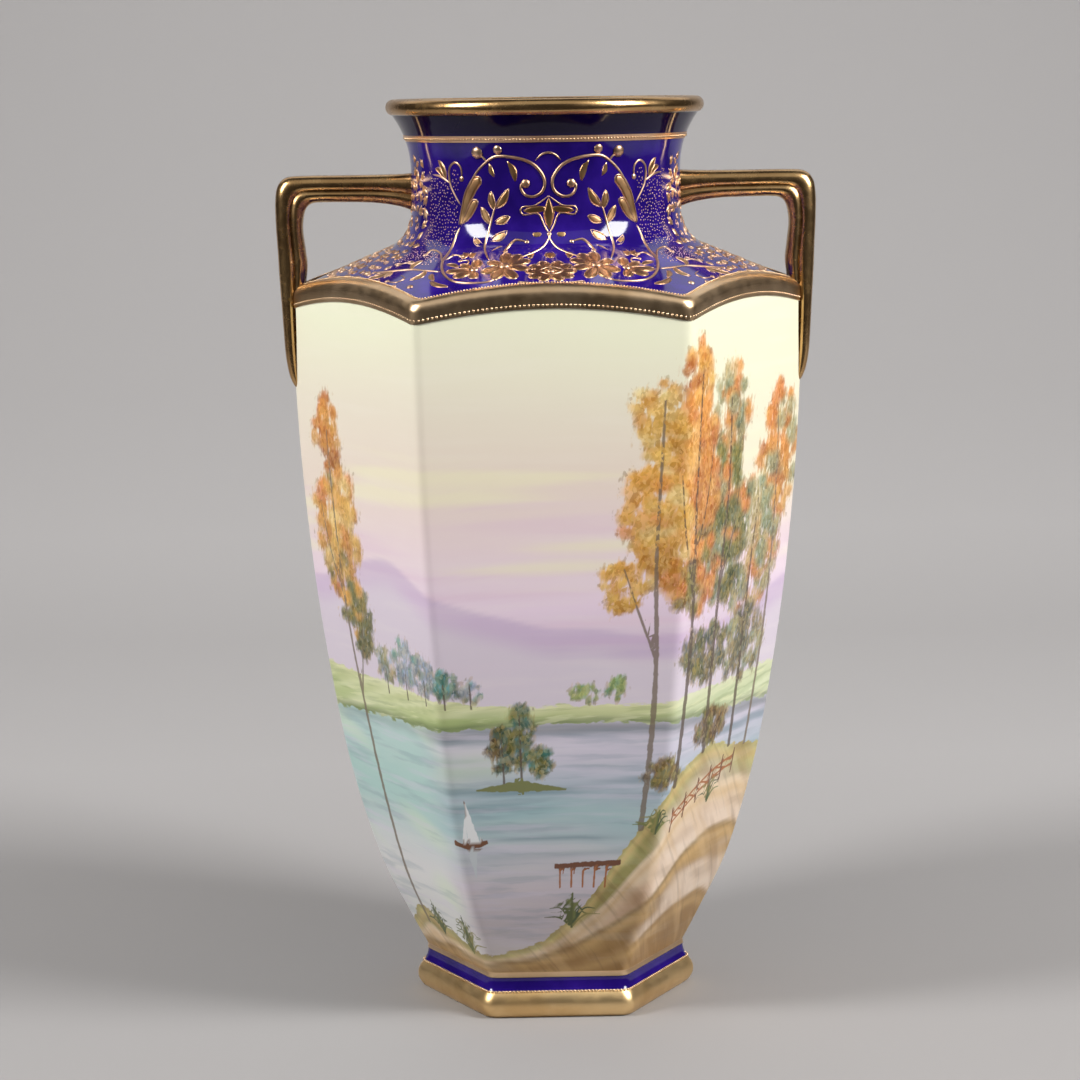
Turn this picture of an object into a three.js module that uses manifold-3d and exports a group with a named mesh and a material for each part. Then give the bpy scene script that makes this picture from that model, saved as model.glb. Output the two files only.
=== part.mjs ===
// A twin-handled porcelain vase: a six-sided body on a moulded foot, a round neck with a rolled lip,
// and two square-shouldered handles from the neck to opposite corners of the body.
// Millimetres, +Z up, origin at the centre of the underside. Two corners of the hexagon lie on the X axis.
import * as THREE from 'three';
import { mergeVertices } from 'three/addons/utils/BufferGeometryUtils.js';
import Module from 'manifold-3d';

const HEIGHT = 305;
const WALL = 4.4;

// Body: distance of the hexagon's sharp corners from the axis, from the foot's groove to the shoulder
const SIDES = 6;
const BODY_CORNERS = [
  [45.2, 15.4],
  [50.6, 25.7],
  [60.8, 47.1],
  [70.2, 79.0],
  [76.2, 110.6],
  [80.7, 141.9],
  [84.2, 178.0],
  [86.0, 210.0],
  [87.0, 247.0],
];
const CORNER_ROUNDING = 5;

// Foot: a hexagonal roll under a cove, hollowed from below
const FOOT_COVE_CORNER = 45.0;
const FOOT_COVE_HEIGHT = 13.4;
const FOOT_ROLL_CORNER = 48.7;
const FOOT_ROLL_TOP = 9.9;
const FOOT_ROLL_TOP_CORNER = 46.4;
const FOOT_EDGE_ROUNDING = 2.2;
const FOOT_RING_WIDTH = 5;
const FOOT_RECESS = 7;
const FLOOR_HEIGHT = 14;

// Shoulder: a shallow cone that meets the neck in a hollow curve and the faces in a rounded, gilded edge
const CONE_INNER = [54, 255.4];
const CONE_SLOPE = 0.42;
const EDGE_ROUNDING = 4.2;
const EDGE_PROUD = 0.5;

// Neck and rolled lip
const NECK_RADIUS = 45.0;
const NECK_LOW = 268;
const NECK_HIGH = 281;
const FLARE_RADIUS = 51.0;
const FLARE_HEIGHT = 299.7;
const LIP_ROLL = 2.7;
const LIP_CENTRE_RADIUS = 50.4;

// Handles: a bar from the neck, a square shoulder and a leg that runs down the body's corner to a tip
const HANDLE_BAR_TOP = 280.3;
const HANDLE_BAR_UNDERSIDE = 271.2;
const HANDLE_REACH = 90.6;
const HANDLE_SHOULDER = 7.5;
const HANDLE_HOLE_REACH = 81.4;
const HANDLE_TIP_HEIGHT = 208.6;
const HANDLE_THICKNESS = 10.6;
const HANDLE_EDGE = 2.8;
const HANDLE_ROOT = 42.6;

const SECTOR = (2 * Math.PI) / SIDES;
const HALF = SECTOR / 2;
const WALL_AT_CORNER = WALL / Math.cos(HALF);
const bodyCurve = new THREE.SplineCurve(BODY_CORNERS.map(([r, z]) => new THREE.Vector2(r, z)));
const bodyTable = bodyCurve.getPoints(240);

// The sharp corner radius of the body at a height
function cornerAt(z) {
  const above = bodyTable.findIndex((p) => p.y > z);
  if (above < 1) return above === 0 ? bodyTable[0].x : bodyTable[bodyTable.length - 1].x;
  const low = bodyTable[above - 1];
  const high = bodyTable[above];
  return THREE.MathUtils.mapLinear(z, low.y, high.y, low.x, high.x);
}

// How far a rounded hexagon's outline lies from the axis, in a direction
function hexagon(corner, rounding, angle) {
  const inSector = ((angle % SECTOR) + SECTOR) % SECTOR;
  const fromFace = Math.abs(inSector - HALF);
  const apothem = corner * Math.cos(HALF);
  const halfFlat = corner / 2 - rounding * Math.tan(HALF);
  if (apothem * Math.tan(fromFace) <= halfFlat) return apothem / Math.cos(fromFace);
  const arcCentre = corner - rounding / Math.cos(HALF);
  const fromCorner = HALF - fromFace;
  const across = arcCentre * Math.sin(fromCorner);
  return arcCentre * Math.cos(fromCorner) + Math.sqrt(rounding ** 2 - across ** 2);
}

function bodyRadius(z, angle, inset = 0) {
  return hexagon(cornerAt(z) - inset, CORNER_ROUNDING, angle);
}

function coneHeight(r) {
  return CONE_INNER[1] - CONE_SLOPE * (r - CONE_INNER[0]);
}

// Where the cone, lowered by a drop, meets the wall of the body in a direction
function edgeHeight(angle, inset, drop) {
  let z = coneHeight(NECK_RADIUS * 2) - drop;
  for (let i = 0; i < 8; i++) z = coneHeight(bodyRadius(z, angle, inset)) - drop;
  return z;
}

function arc(centreR, centreZ, radius, from, to, steps) {
  const points = [];
  for (let i = 0; i <= steps; i++) {
    const turn = THREE.MathUtils.degToRad(THREE.MathUtils.lerp(from, to, i / steps));
    points.push([centreR + radius * Math.cos(turn), centreZ + radius * Math.sin(turn)]);
  }
  return points;
}

function bend(start, control, end, steps) {
  const curve = new THREE.QuadraticBezierCurve(...[start, control, end].map((p) => new THREE.Vector2(...p)));
  return curve.getPoints(steps).map((p) => [p.x, p.y]);
}

// The outer foot in one direction, from the ring it stands on to the groove under the body
function footOutline(angle) {
  const scale = hexagon(FOOT_ROLL_CORNER, CORNER_ROUNDING, angle) / FOOT_ROLL_CORNER;
  const roll = bend(
    [FOOT_ROLL_CORNER - FOOT_EDGE_ROUNDING, 0],
    [FOOT_ROLL_CORNER + FOOT_EDGE_ROUNDING, 4.2],
    [FOOT_ROLL_TOP_CORNER, FOOT_ROLL_TOP],
    6,
  );
  const cove = [[FOOT_COVE_CORNER, FOOT_COVE_HEIGHT]];
  return [...roll, ...cove].map(([r, z]) => [r * scale, z]);
}

function recessOutline(angle) {
  const ring = hexagon(FOOT_ROLL_CORNER - FOOT_EDGE_ROUNDING - FOOT_RING_WIDTH, CORNER_ROUNDING, angle);
  return [[0, FOOT_RECESS], [ring * 0.55, FOOT_RECESS], [ring - 2, FOOT_RECESS - 0.6], [ring, 0]];
}

// The wall from the groove to the rounded edge, which stands a little proud of face and shoulder
function wallOutline(angle) {
  const top = edgeHeight(angle, 0, 0);
  const bottom = BODY_CORNERS[0][1];
  const slope = Math.atan(CONE_SLOPE);
  const turn = Math.PI / 2 - slope;
  const reach = EDGE_ROUNDING * Math.tan(turn / 2);
  const rows = [];
  for (let i = 0; i <= 13; i++) {
    const z = THREE.MathUtils.lerp(bottom, top - reach - 2 * EDGE_PROUD, (i / 13) ** 1.25);
    rows.push([bodyRadius(z, angle), z]);
  }
  const r = bodyRadius(top, angle);
  const centreZ = top - reach;
  const centreR = r - EDGE_ROUNDING;
  const edge = arc(centreR, centreZ, EDGE_ROUNDING + EDGE_PROUD, 0, THREE.MathUtils.radToDeg(turn), 4);
  return [...rows, ...edge];
}

// The shoulder, neck and lip, round in plan, from just inside the gilded edge
function neckOutline(angle) {
  const slope = Math.atan(CONE_SLOPE);
  const edge = bodyRadius(edgeHeight(angle, 0, 0), angle);
  const reach = EDGE_ROUNDING * Math.tan((Math.PI / 2 - slope) / 2);
  const start = edge - reach * Math.cos(slope) - 2 * EDGE_PROUD;
  const cone = [start, (start + CONE_INNER[0]) / 2].map((r) => [r, coneHeight(r)]);
  const lipCentre = HEIGHT - LIP_ROLL;
  return [
    ...cone,
    ...bend([CONE_INNER[0] - 1.5, coneHeight(CONE_INNER[0] - 1.5)], [45.6, 258.9], [NECK_RADIUS, NECK_LOW], 4),
    ...bend([NECK_RADIUS, NECK_HIGH], [44.9, 291.2], [FLARE_RADIUS, FLARE_HEIGHT], 5),
    ...arc(LIP_CENTRE_RADIUS, lipCentre, LIP_ROLL, -60, 180, 8),
  ];
}

function liningOutline(angle) {
  const inner = NECK_RADIUS - WALL;
  const drop = WALL * Math.sqrt(1 + CONE_SLOPE ** 2);
  const corner = edgeHeight(angle, WALL_AT_CORNER, drop);
  const rows = [
    ...bend([LIP_CENTRE_RADIUS - LIP_ROLL, HEIGHT - 2 * LIP_ROLL], [inner, 293], [inner, NECK_HIGH], 4).slice(1),
    [inner, NECK_LOW - 4],
    [inner + 4, coneHeight(inner + 4) - drop - 1.5],
    [60, coneHeight(60) - drop],
  ];
  const lastCone = bodyRadius(corner, angle, WALL_AT_CORNER);
  rows.push([lastCone, corner]);
  for (let i = 1; i <= 8; i++) {
    const z = THREE.MathUtils.lerp(corner, FLOOR_HEIGHT + 3, (i / 8) ** 0.85);
    rows.push([bodyRadius(z, angle, WALL_AT_CORNER), z]);
  }
  rows.push([bodyRadius(FLOOR_HEIGHT, angle, WALL_AT_CORNER) - 3, FLOOR_HEIGHT], [0, FLOOR_HEIGHT]);
  return rows;
}

function column(angle) {
  return [
    ...recessOutline(angle),
    ...footOutline(angle),
    ...wallOutline(angle),
    ...neckOutline(angle),
    ...liningOutline(angle),
  ];
}

// Directions of the columns in one sector: the corner, both ends of its rounding, and the face between
function directions() {
  const roundingEnd = Math.atan((CORNER_ROUNDING * Math.tan(HALF) * Math.cos(HALF)) / BODY_CORNERS.at(-1)[0]);
  const across = 7;
  const sector = [0];
  for (let i = 0; i <= across; i++) sector.push(THREE.MathUtils.lerp(roundingEnd, SECTOR - roundingEnd, i / across));
  const all = [];
  for (let side = 0; side < SIDES; side++) all.push(...sector.map((a) => a + side * SECTOR));
  return all;
}

function vesselGeometry() {
  const angles = directions();
  const columns = angles.map(column);
  const rows = columns[0].length;
  const positions = [];
  angles.forEach((angle, i) => {
    for (const [r, z] of columns[i]) positions.push(r * Math.cos(angle), r * Math.sin(angle), z);
  });
  const indices = [];
  for (let i = 0; i < angles.length; i++) {
    const next = (i + 1) % angles.length;
    for (let j = 0; j + 1 < rows; j++) {
      const a = i * rows + j;
      const b = next * rows + j;
      if (j > 0) indices.push(a, b, b + 1);
      indices.push(a, b + 1, a + 1);
    }
  }
  const geometry = new THREE.BufferGeometry();
  geometry.setAttribute('position', new THREE.Float32BufferAttribute(positions, 3));
  geometry.setIndex(indices);
  return geometry;
}

// One handle in the plane of the axis, as an outline that is rounded over on both faces
function handleGeometry(side) {
  const inset = HANDLE_EDGE;
  const top = HANDLE_BAR_TOP - inset;
  const under = HANDLE_BAR_UNDERSIDE + inset;
  const reach = HANDLE_REACH - inset;
  const hole = HANDLE_HOLE_REACH + inset;
  const outline = new THREE.Shape();
  outline.moveTo(HANDLE_ROOT + inset, top + 0.6);
  outline.lineTo(HANDLE_ROOT + 5, top);
  outline.lineTo(reach - HANDLE_SHOULDER, top);
  outline.quadraticCurveTo(reach, top, reach, top - HANDLE_SHOULDER);
  outline.lineTo(reach - 2.2, 222);
  outline.quadraticCurveTo(reach - 2.8, 214, reach - 4.6, HANDLE_TIP_HEIGHT + inset);
  outline.lineTo(reach - 3.2, 236);
  outline.lineTo(81.6, 243);
  outline.lineTo(78.9, 245.6);
  outline.quadraticCurveTo(hole - 1.3, 250, hole, 262);
  outline.quadraticCurveTo(hole, under, hole - 6.5, under);
  outline.lineTo(57, under - 0.2);
  outline.lineTo(HANDLE_ROOT + inset, under - 2.4);
  outline.closePath();
  const geometry = new THREE.ExtrudeGeometry(outline, {
    depth: HANDLE_THICKNESS - 2 * HANDLE_EDGE,
    bevelEnabled: true,
    bevelThickness: HANDLE_EDGE,
    bevelSize: HANDLE_EDGE,
    bevelSegments: 3,
    curveSegments: 5,
  });
  geometry.translate(0, 0, HANDLE_EDGE - HANDLE_THICKNESS / 2);
  geometry.rotateX(Math.PI / 2);
  if (side < 0) geometry.rotateZ(Math.PI);
  return geometry;
}

const wasm = await Module();
wasm.setup();

function toSolid(geometry) {
  const bare = geometry.clone();
  bare.deleteAttribute('normal');
  bare.deleteAttribute('uv');
  const merged = mergeVertices(bare, 1e-4);
  const kept = [];
  const index = merged.index.array;
  for (let i = 0; i < index.length; i += 3) {
    const [a, b, c] = index.slice(i, i + 3);
    if (a !== b && b !== c && c !== a) kept.push(a, b, c);
  }
  const mesh = new wasm.Mesh({
    numProp: 3,
    vertProperties: new Float32Array(merged.attributes.position.array),
    triVerts: new Uint32Array(kept),
  });
  return new wasm.Manifold(mesh);
}

function toGeometry(solid) {
  const mesh = solid.getMesh();
  const geometry = new THREE.BufferGeometry();
  geometry.setAttribute('position', new THREE.BufferAttribute(mesh.vertProperties, 3));
  geometry.setIndex(new THREE.BufferAttribute(mesh.triVerts, 1));
  geometry.computeVertexNormals();
  return geometry;
}

const fired = [-1, 1].reduce((solid, side) => solid.add(toSolid(handleGeometry(side))), toSolid(vesselGeometry()));

const porcelain = new THREE.MeshStandardMaterial({ color: 0xe9e2cf, roughness: 0.2, metalness: 0 });
const vase = new THREE.Mesh(toGeometry(fired), porcelain);
vase.name = 'vase';

const group = new THREE.Group();
group.add(vase);

export default group;
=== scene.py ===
# %% [markdown]
# # A twin-handled porcelain vase
# The vase is one piece of fired porcelain. It has a six-sided body that swells from a moulded foot to a
# scalloped shoulder, a round neck with a rolled lip, and two square-shouldered handles. The neck and
# shoulder are cobalt blue with raised gold, the six faces carry a painted lakeside in autumn, and the
# handles, lip, shoulder edge and foot are burnished gold.
# This file builds it in cells. First come the shapes, then the finishes, then the light and the camera.

import bpy
import numpy as np
from mathutils import Matrix, Vector


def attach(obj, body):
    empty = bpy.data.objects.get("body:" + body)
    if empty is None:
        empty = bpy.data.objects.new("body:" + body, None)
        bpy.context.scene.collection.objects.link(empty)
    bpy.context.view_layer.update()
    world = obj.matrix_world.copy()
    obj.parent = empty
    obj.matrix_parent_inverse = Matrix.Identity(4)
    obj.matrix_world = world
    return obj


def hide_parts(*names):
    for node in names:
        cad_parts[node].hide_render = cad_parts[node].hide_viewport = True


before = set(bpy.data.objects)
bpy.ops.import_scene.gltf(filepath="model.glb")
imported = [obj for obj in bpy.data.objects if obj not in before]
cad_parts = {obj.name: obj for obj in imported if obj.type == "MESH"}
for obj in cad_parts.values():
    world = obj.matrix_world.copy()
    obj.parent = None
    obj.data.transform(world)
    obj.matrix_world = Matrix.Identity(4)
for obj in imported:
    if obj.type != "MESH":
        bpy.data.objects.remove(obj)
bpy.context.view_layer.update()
MM = 0.001

# %% [markdown]
# ## A sheet that is wrapped round a form
# A potter can roll out a sheet of clay and wrap it round a former. Blender's grid primitive is such a
# sheet: it has rows and columns, so every vertex knows its place. The helper below adds a grid, lays each
# vertex where an array says, and welds the seam and the poles, so that the result is closed. It suits the
# body, whose outline changes from a hexagon to a circle, better than a lathe would.

# %% The sheet helper
# Points closer than this, in metres, become one
WELD = 1e-6


def deselect_all():
    if bpy.context.object and bpy.context.object.mode != "OBJECT":
        bpy.ops.object.mode_set(mode="OBJECT")
    bpy.ops.object.select_all(action="DESELECT")


def only(piece):
    deselect_all()
    piece.select_set(True)
    bpy.context.view_layer.objects.active = piece


def weld(piece):
    only(piece)
    bpy.ops.object.mode_set(mode="EDIT")
    bpy.ops.mesh.select_all(action="SELECT")
    bpy.ops.mesh.remove_doubles(threshold=WELD)
    bpy.ops.mesh.dissolve_degenerate(threshold=WELD)
    bpy.ops.mesh.normals_make_consistent(inside=False)
    bpy.ops.object.mode_set(mode="OBJECT")


def vertices_of(piece):
    flat = np.empty(len(piece.data.vertices) * 3)
    piece.data.vertices.foreach_get("co", flat)
    return flat.reshape(-1, 3)


def put_vertices(piece, places):
    piece.data.vertices.foreach_set("co", np.ascontiguousarray(places).ravel())
    piece.data.update()


def smoothed(piece, crease=None):
    """Smooth shading. Edges sharper than the crease angle, in degrees, stay crisp."""
    only(piece)
    if crease is None:
        bpy.ops.object.shade_smooth()
    else:
        bpy.ops.object.shade_smooth_by_angle(angle=np.radians(crease))


def print_triangles(piece):
    print(piece.name, "triangles:", sum(len(p.vertices) - 2 for p in piece.data.polygons))


def laid_grid(name, places):
    """A grid laid where an array of rows x columns x 3 says, with the row and column of each vertex."""
    rows, columns = places.shape[0] - 1, places.shape[1] - 1
    deselect_all()
    bpy.ops.mesh.primitive_grid_add(x_subdivisions=columns, y_subdivisions=rows, size=1)
    piece = bpy.context.object
    piece.name = piece.data.name = name
    flat = vertices_of(piece)
    column = np.rint((flat[:, 0] + 0.5) * columns).astype(int)
    row = np.rint((flat[:, 1] + 0.5) * rows).astype(int)
    put_vertices(piece, places[row, column])
    return piece, row, column


def wrapped_sheet(name, places, uv=None, slot_of_row=None, tints=None):
    """A closed mesh. Each row of faces takes its finish from slot_of_row, and tints are its attributes."""
    piece, row, column = laid_grid(name, places)
    mesh = piece.data
    corners = np.empty(len(mesh.loops), dtype=int)
    mesh.loops.foreach_get("vertex_index", corners)
    if uv is not None:
        mesh.uv_layers[0].name = "paint"
        mesh.uv_layers[0].uv.foreach_set("vector", uv[row[corners], column[corners]].ravel())
    if slot_of_row is not None:
        lowest = row[corners].reshape(-1, 4).min(axis=1)
        mesh.polygons.foreach_set("material_index", np.asarray(slot_of_row)[lowest])
    for tint, values in (tints or {}).items():
        layer = mesh.attributes.new(tint, "FLOAT_COLOR", "POINT")
        layer.data.foreach_set("color", values[row, column].ravel())
    mesh.update()
    weld(piece)
    return piece


# %% [markdown]
# ## The driving sizes
# These are the same sizes as in the construction model, in metres, so that the fine surface lies on it.
# A corner radius is the distance from the axis to the sharp corner of the hexagon.

# %% Sizes of the body
HEIGHT = 305 * MM
WALL = 4.4 * MM
SIDES = 6
SECTOR = 2 * np.pi / SIDES
HALF = SECTOR / 2
BODY_CORNERS = MM * np.array([
    (45.2, 15.4),
    (50.6, 25.7),
    (60.8, 47.1),
    (70.2, 79.0),
    (76.2, 110.6),
    (80.7, 141.9),
    (84.2, 178.0),
    (86.0, 210.0),
    (87.0, 247.0),
])
CORNER_ROUNDING = 5 * MM
CONE_INNER = (54 * MM, 255.4 * MM)
CONE_SLOPE = 0.42
NECK_RADIUS = 45 * MM
NECK_LOW = 268 * MM
NECK_HIGH = 281 * MM
FLARE_RADIUS = 51 * MM
FLARE_HEIGHT = 299.7 * MM
LIP_ROLL = 2.7 * MM
LIP_CENTRE = 50.4 * MM


def catmull(points, steps):
    """Points on a smooth curve through the given points."""
    points = np.asarray(points, dtype=float)
    padded = np.concatenate([points[:1], points, points[-1:]])
    along = np.linspace(0, 1, steps, endpoint=False)[:, None]
    pieces = []
    for before, start, end, after in zip(padded[:-3], padded[1:-2], padded[2:-1], padded[3:]):
        leave, arrive = (end - before) / 2, (after - start) / 2
        cubic = 2 * start - 2 * end + leave + arrive
        square = 3 * (end - start) - 2 * leave - arrive
        pieces.append(((cubic * along + square) * along + leave) * along + start)
    return np.concatenate(pieces + [points[-1:]])


def bend(start, control, end, steps):
    along = np.linspace(0, 1, steps + 1)[:, None]
    start, control, end = map(np.array, (start, control, end))
    return (1 - along) ** 2 * start + 2 * along * (1 - along) * control + along**2 * end


def arc(centre, radius, first, last, steps):
    turn = np.radians(np.linspace(first, last, steps + 1))
    return np.stack([centre[0] + radius * np.cos(turn), centre[1] + radius * np.sin(turn)], axis=1)


MEETING_ROUNDS = 8
body_curve = catmull(BODY_CORNERS, 40)


def corner_at(z):
    return np.interp(z, body_curve[:, 1], body_curve[:, 0])


def hexagon(corner, angle, rounding=CORNER_ROUNDING):
    """How far a hexagon with rounded corners reaches. Corners lie at 0, 60, 120 degrees and so on."""
    from_face = np.abs(np.mod(angle, SECTOR) - HALF)
    apothem = corner * np.cos(HALF)
    flat = apothem / np.cos(from_face)
    centre = corner - rounding / np.cos(HALF)
    from_corner = HALF - from_face
    across = np.minimum(np.abs(centre * np.sin(from_corner)), rounding)
    rounded = centre * np.cos(from_corner) + np.sqrt(rounding**2 - across**2)
    on_flat = apothem * np.tan(from_face) <= corner / 2 - rounding * np.tan(HALF)
    return np.where(on_flat, flat, rounded)


def body_radius(z, angle, inset=0.0):
    return hexagon(corner_at(z) - inset, angle)


def cone_height(r):
    return CONE_INNER[1] - CONE_SLOPE * (r - CONE_INNER[0])


def edge_height(angle, inset=0.0, drop=0.0):
    """Where the shoulder's cone, lowered by drop, meets the wall: the scalloped top of each face."""
    z = cone_height(2 * NECK_RADIUS) - drop + 0 * angle
    # The wall's radius depends on the height, so the meeting point is found by going to and fro
    for _ in range(MEETING_ROUNDS):
        z = cone_height(body_radius(z, angle, inset)) - drop
    return z


print("shoulder edge, mm:", edge_height(np.array([0.0, HALF])) / MM)

# %% [markdown]
# ## The vessel
# Its surface is one outline that starts under the foot, runs up the outside, over the lip and down the
# inside to the floor. In each direction round the axis the outline is a little different, because the
# body is a hexagon and the neck is a circle. Each stretch of the outline is named after its finish, so
# the same list gives both the shape and the places where cobalt, gold and painting meet.

# %% Directions of the columns
FRONT_COLUMNS = 66
BACK_COLUMNS = 26
ROUNDING_COLUMNS = 4
rounding_end = np.arctan(CORNER_ROUNDING * np.tan(HALF) * np.cos(HALF) / BODY_CORNERS[-1, 0])


def side_directions(side):
    """Directions across one face, closer together at the rounded corners."""
    # Sides are counted from the corner at +X, so that sides 3, 4 and 5 are the left, front and right
    columns = FRONT_COLUMNS if side in (3, 4, 5) else BACK_COLUMNS
    corner = np.linspace(0, rounding_end, ROUNDING_COLUMNS, endpoint=False)
    widest = np.tan(HALF - rounding_end)
    face = HALF - np.arctan(np.linspace(widest, -widest, columns))
    return np.concatenate([corner, face, (SECTOR - corner[:0:-1])]) + side * SECTOR


angles = np.concatenate([side_directions(side) for side in range(SIDES)] + [[2 * np.pi]])
# Places round the vase in faces: the front face runs from -0.5 to 0.5, the handles are at -1.5 and 1.5
side_number = np.minimum(np.floor(angles / SECTOR + 1e-9), SIDES - 1)
across_face = np.tan(angles - (side_number + 0.5) * SECTOR) / np.tan(HALF) / 2
round_place = side_number - 4 + across_face
print("columns:", len(angles), "from", round_place.min(), "to", round_place.max())

# %% [markdown]
# The foot is a hexagonal roll under a cobalt cove, hollowed below so that it stands on a narrow ring. The
# ring is left bare, because a glazed foot would stick to the kiln shelf.

# %% Outline of the foot
FOOT_ROLL_CORNER = 48.7 * MM
FOOT_EDGE = 2.2 * MM
FOOT_ROLL_TOP = (46.5 * MM, 8.8 * MM)
FOOT_COVE = (45.0 * MM, 13.4 * MM)
FOOT_RING = 5 * MM
FOOT_RECESS = 7 * MM
RING_OUTER = FOOT_ROLL_CORNER - FOOT_EDGE
RING_INNER = RING_OUTER - FOOT_RING
GROOVE = 0.25 * MM


def spread(outline, angle, corner=FOOT_ROLL_CORNER):
    """An outline of corner radii as rows of (r, z) in every direction."""
    outline = np.asarray(outline)
    scale = hexagon(corner, angle) / corner
    r = outline[:, :1] * scale
    return np.stack([r, outline[:, 1:] + 0 * r], axis=-1)


def recess_rows(angle):
    dome_end = (RING_INNER - 2 * MM, FOOT_RECESS - 1.2 * MM)
    dome = bend((0, FOOT_RECESS), (RING_INNER * 0.7, FOOT_RECESS), dome_end, 5)
    step_top = (RING_INNER - 0.9 * MM, FOOT_RECESS - 2 * MM)
    step = bend(step_top, (RING_INNER - 0.5 * MM, 2 * MM), (RING_INNER - 0.4 * MM, 0.9 * MM), 4)
    return spread(np.concatenate([dome, step]), angle)


def ring_rows(angle):
    ring = [(RING_INNER, 0.25 * MM), (RING_INNER + 0.5 * MM, 0), (RING_OUTER - 0.6 * MM, 0)]
    return spread(ring, angle)


def roll_rows(angle):
    bulge = (FOOT_ROLL_CORNER + FOOT_EDGE, 4.2 * MM)
    return spread(bend((RING_OUTER, 0.15 * MM), bulge, FOOT_ROLL_TOP, 12), angle)


def cove_rows(angle):
    lower = np.array(FOOT_ROLL_TOP) + (-0.35 * MM, 0.25 * MM)
    return spread(bend(lower, (44.7 * MM, 12.2 * MM), FOOT_COVE, 5), angle)


def line_rows(angle):
    groove = (BODY_CORNERS[0, 0] - GROOVE, BODY_CORNERS[0, 1] - 0.5 * MM)
    return spread([(FOOT_COVE[0] + 0.15 * MM, FOOT_COVE[1] + 0.15 * MM), groove], angle)


# %% [markdown]
# Each face is straight across and swells upwards. Near its top the wall turns into a rounded, gilded
# moulding that stands slightly proud and follows the scalloped line where wall and shoulder meet.

# %% Outline of the wall and the shoulder's moulding
EDGE_ROUNDING = 4.2 * MM
EDGE_PROUD = 0.45 * MM
BAND_BELOW_EDGE = 6.3 * MM
BAND_TUCK = 0.12 * MM
MOULDING_OVERLAP = 0.9 * MM
MOULDING_SINK = 0.15 * MM
PANEL_ROWS = 168


def wall_rows(angle):
    top = edge_height(angle) - BAND_BELOW_EDGE
    rise = np.linspace(0, 1, PANEL_ROWS + 1)[:, None]
    z = BODY_CORNERS[0, 1] + (top - BODY_CORNERS[0, 1]) * rise
    return np.stack([body_radius(z, angle), z], axis=-1)


def moulding_rows(angle):
    """The gilded edge: up the wall, round, and a little way in over the shoulder."""
    edge = edge_height(angle)
    slope = np.arctan(CONE_SLOPE)
    turn = np.pi / 2 - slope
    reach = EDGE_ROUNDING * np.tan(turn / 2)
    foot_z = edge - BAND_BELOW_EDGE + BAND_TUCK
    steps = np.linspace(0, 1, 4)[:, None]
    z = foot_z + (edge - reach - foot_z) * steps
    lift = EDGE_PROUD * np.sqrt(np.minimum(1, 0.35 + steps))
    rising = np.stack([body_radius(z, angle) + lift, z], axis=-1)
    at_edge = body_radius(edge, angle)
    swing = np.linspace(0, turn, 9)[1:, None]
    r = at_edge - EDGE_ROUNDING + (EDGE_ROUNDING + EDGE_PROUD) * np.cos(swing)
    z = edge - reach + (EDGE_ROUNDING + EDGE_PROUD) * np.sin(swing)
    last = np.stack([r[-1] - MOULDING_OVERLAP, z[-1] + MOULDING_OVERLAP * CONE_SLOPE - MOULDING_SINK],
                    axis=-1)
    return np.concatenate([rising, np.stack([r, z], axis=-1), last[None]])


# %% [markdown]
# Shoulder, neck and lip were thrown or cast round. The lining follows the outside at a wall's thickness.

# %% Outline of the shoulder, neck, lip and lining
BAND_LOW = 291.1 * MM
BAND_HIGH = 293.2 * MM
BAND_PROUD = 0.12 * MM
CONE_END = CONE_INNER[0] - 1.5 * MM
HOLLOW_END = 50 * MM
FLOOR_HEIGHT = 14 * MM
FLOOR_EDGE_HEIGHT = 17 * MM
neck_curve = np.concatenate([
    bend((CONE_END, cone_height(CONE_END)), (45.6 * MM, 258.9 * MM), (NECK_RADIUS, NECK_LOW), 16),
    [(NECK_RADIUS, z) for z in np.linspace(NECK_LOW, NECK_HIGH, 6)[1:-1]],
    bend((NECK_RADIUS, NECK_HIGH), (44.9 * MM, 291.2 * MM), (FLARE_RADIUS, FLARE_HEIGHT), 24),
])


def round_rows(outline, angle):
    outline = np.asarray(outline)
    r = outline[:, :1] + 0 * angle
    return np.stack([r, outline[:, 1:] + 0 * r], axis=-1)


def neck_between(low, high):
    z = np.linspace(low, high, 1 + max(2, int((high - low) / (1.8 * MM))))
    return np.stack([np.interp(z, neck_curve[:, 1], neck_curve[:, 0]), z], axis=1)


def shoulder_rows(angle):
    start = moulding_rows(angle)[-1, :, 0] - 0.3 * MM
    fraction = np.linspace(0, 1, 12)[:-1, None]
    r = start + (CONE_END - start) * fraction
    cone = np.stack([r, cone_height(r)], axis=-1)
    return np.concatenate([cone, round_rows(neck_between(neck_curve[0, 1], BAND_LOW), angle)])


def neck_band_rows(angle):
    return round_rows(neck_between(BAND_LOW + 0.05 * MM, BAND_HIGH - 0.05 * MM) + (BAND_PROUD, 0), angle)


def flare_rows(angle):
    return round_rows(neck_between(BAND_HIGH, FLARE_HEIGHT), angle)


def lip_rows(angle):
    return round_rows(arc((LIP_CENTRE, HEIGHT - LIP_ROLL), LIP_ROLL, -60, 180, 14), angle)


def inner_lip_rows(angle):
    start = (LIP_CENTRE - LIP_ROLL, HEIGHT - LIP_ROLL - 0.3 * MM)
    return round_rows(bend(start, (46.6 * MM, 299 * MM), (44.4 * MM, 295.8 * MM), 4), angle)


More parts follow.
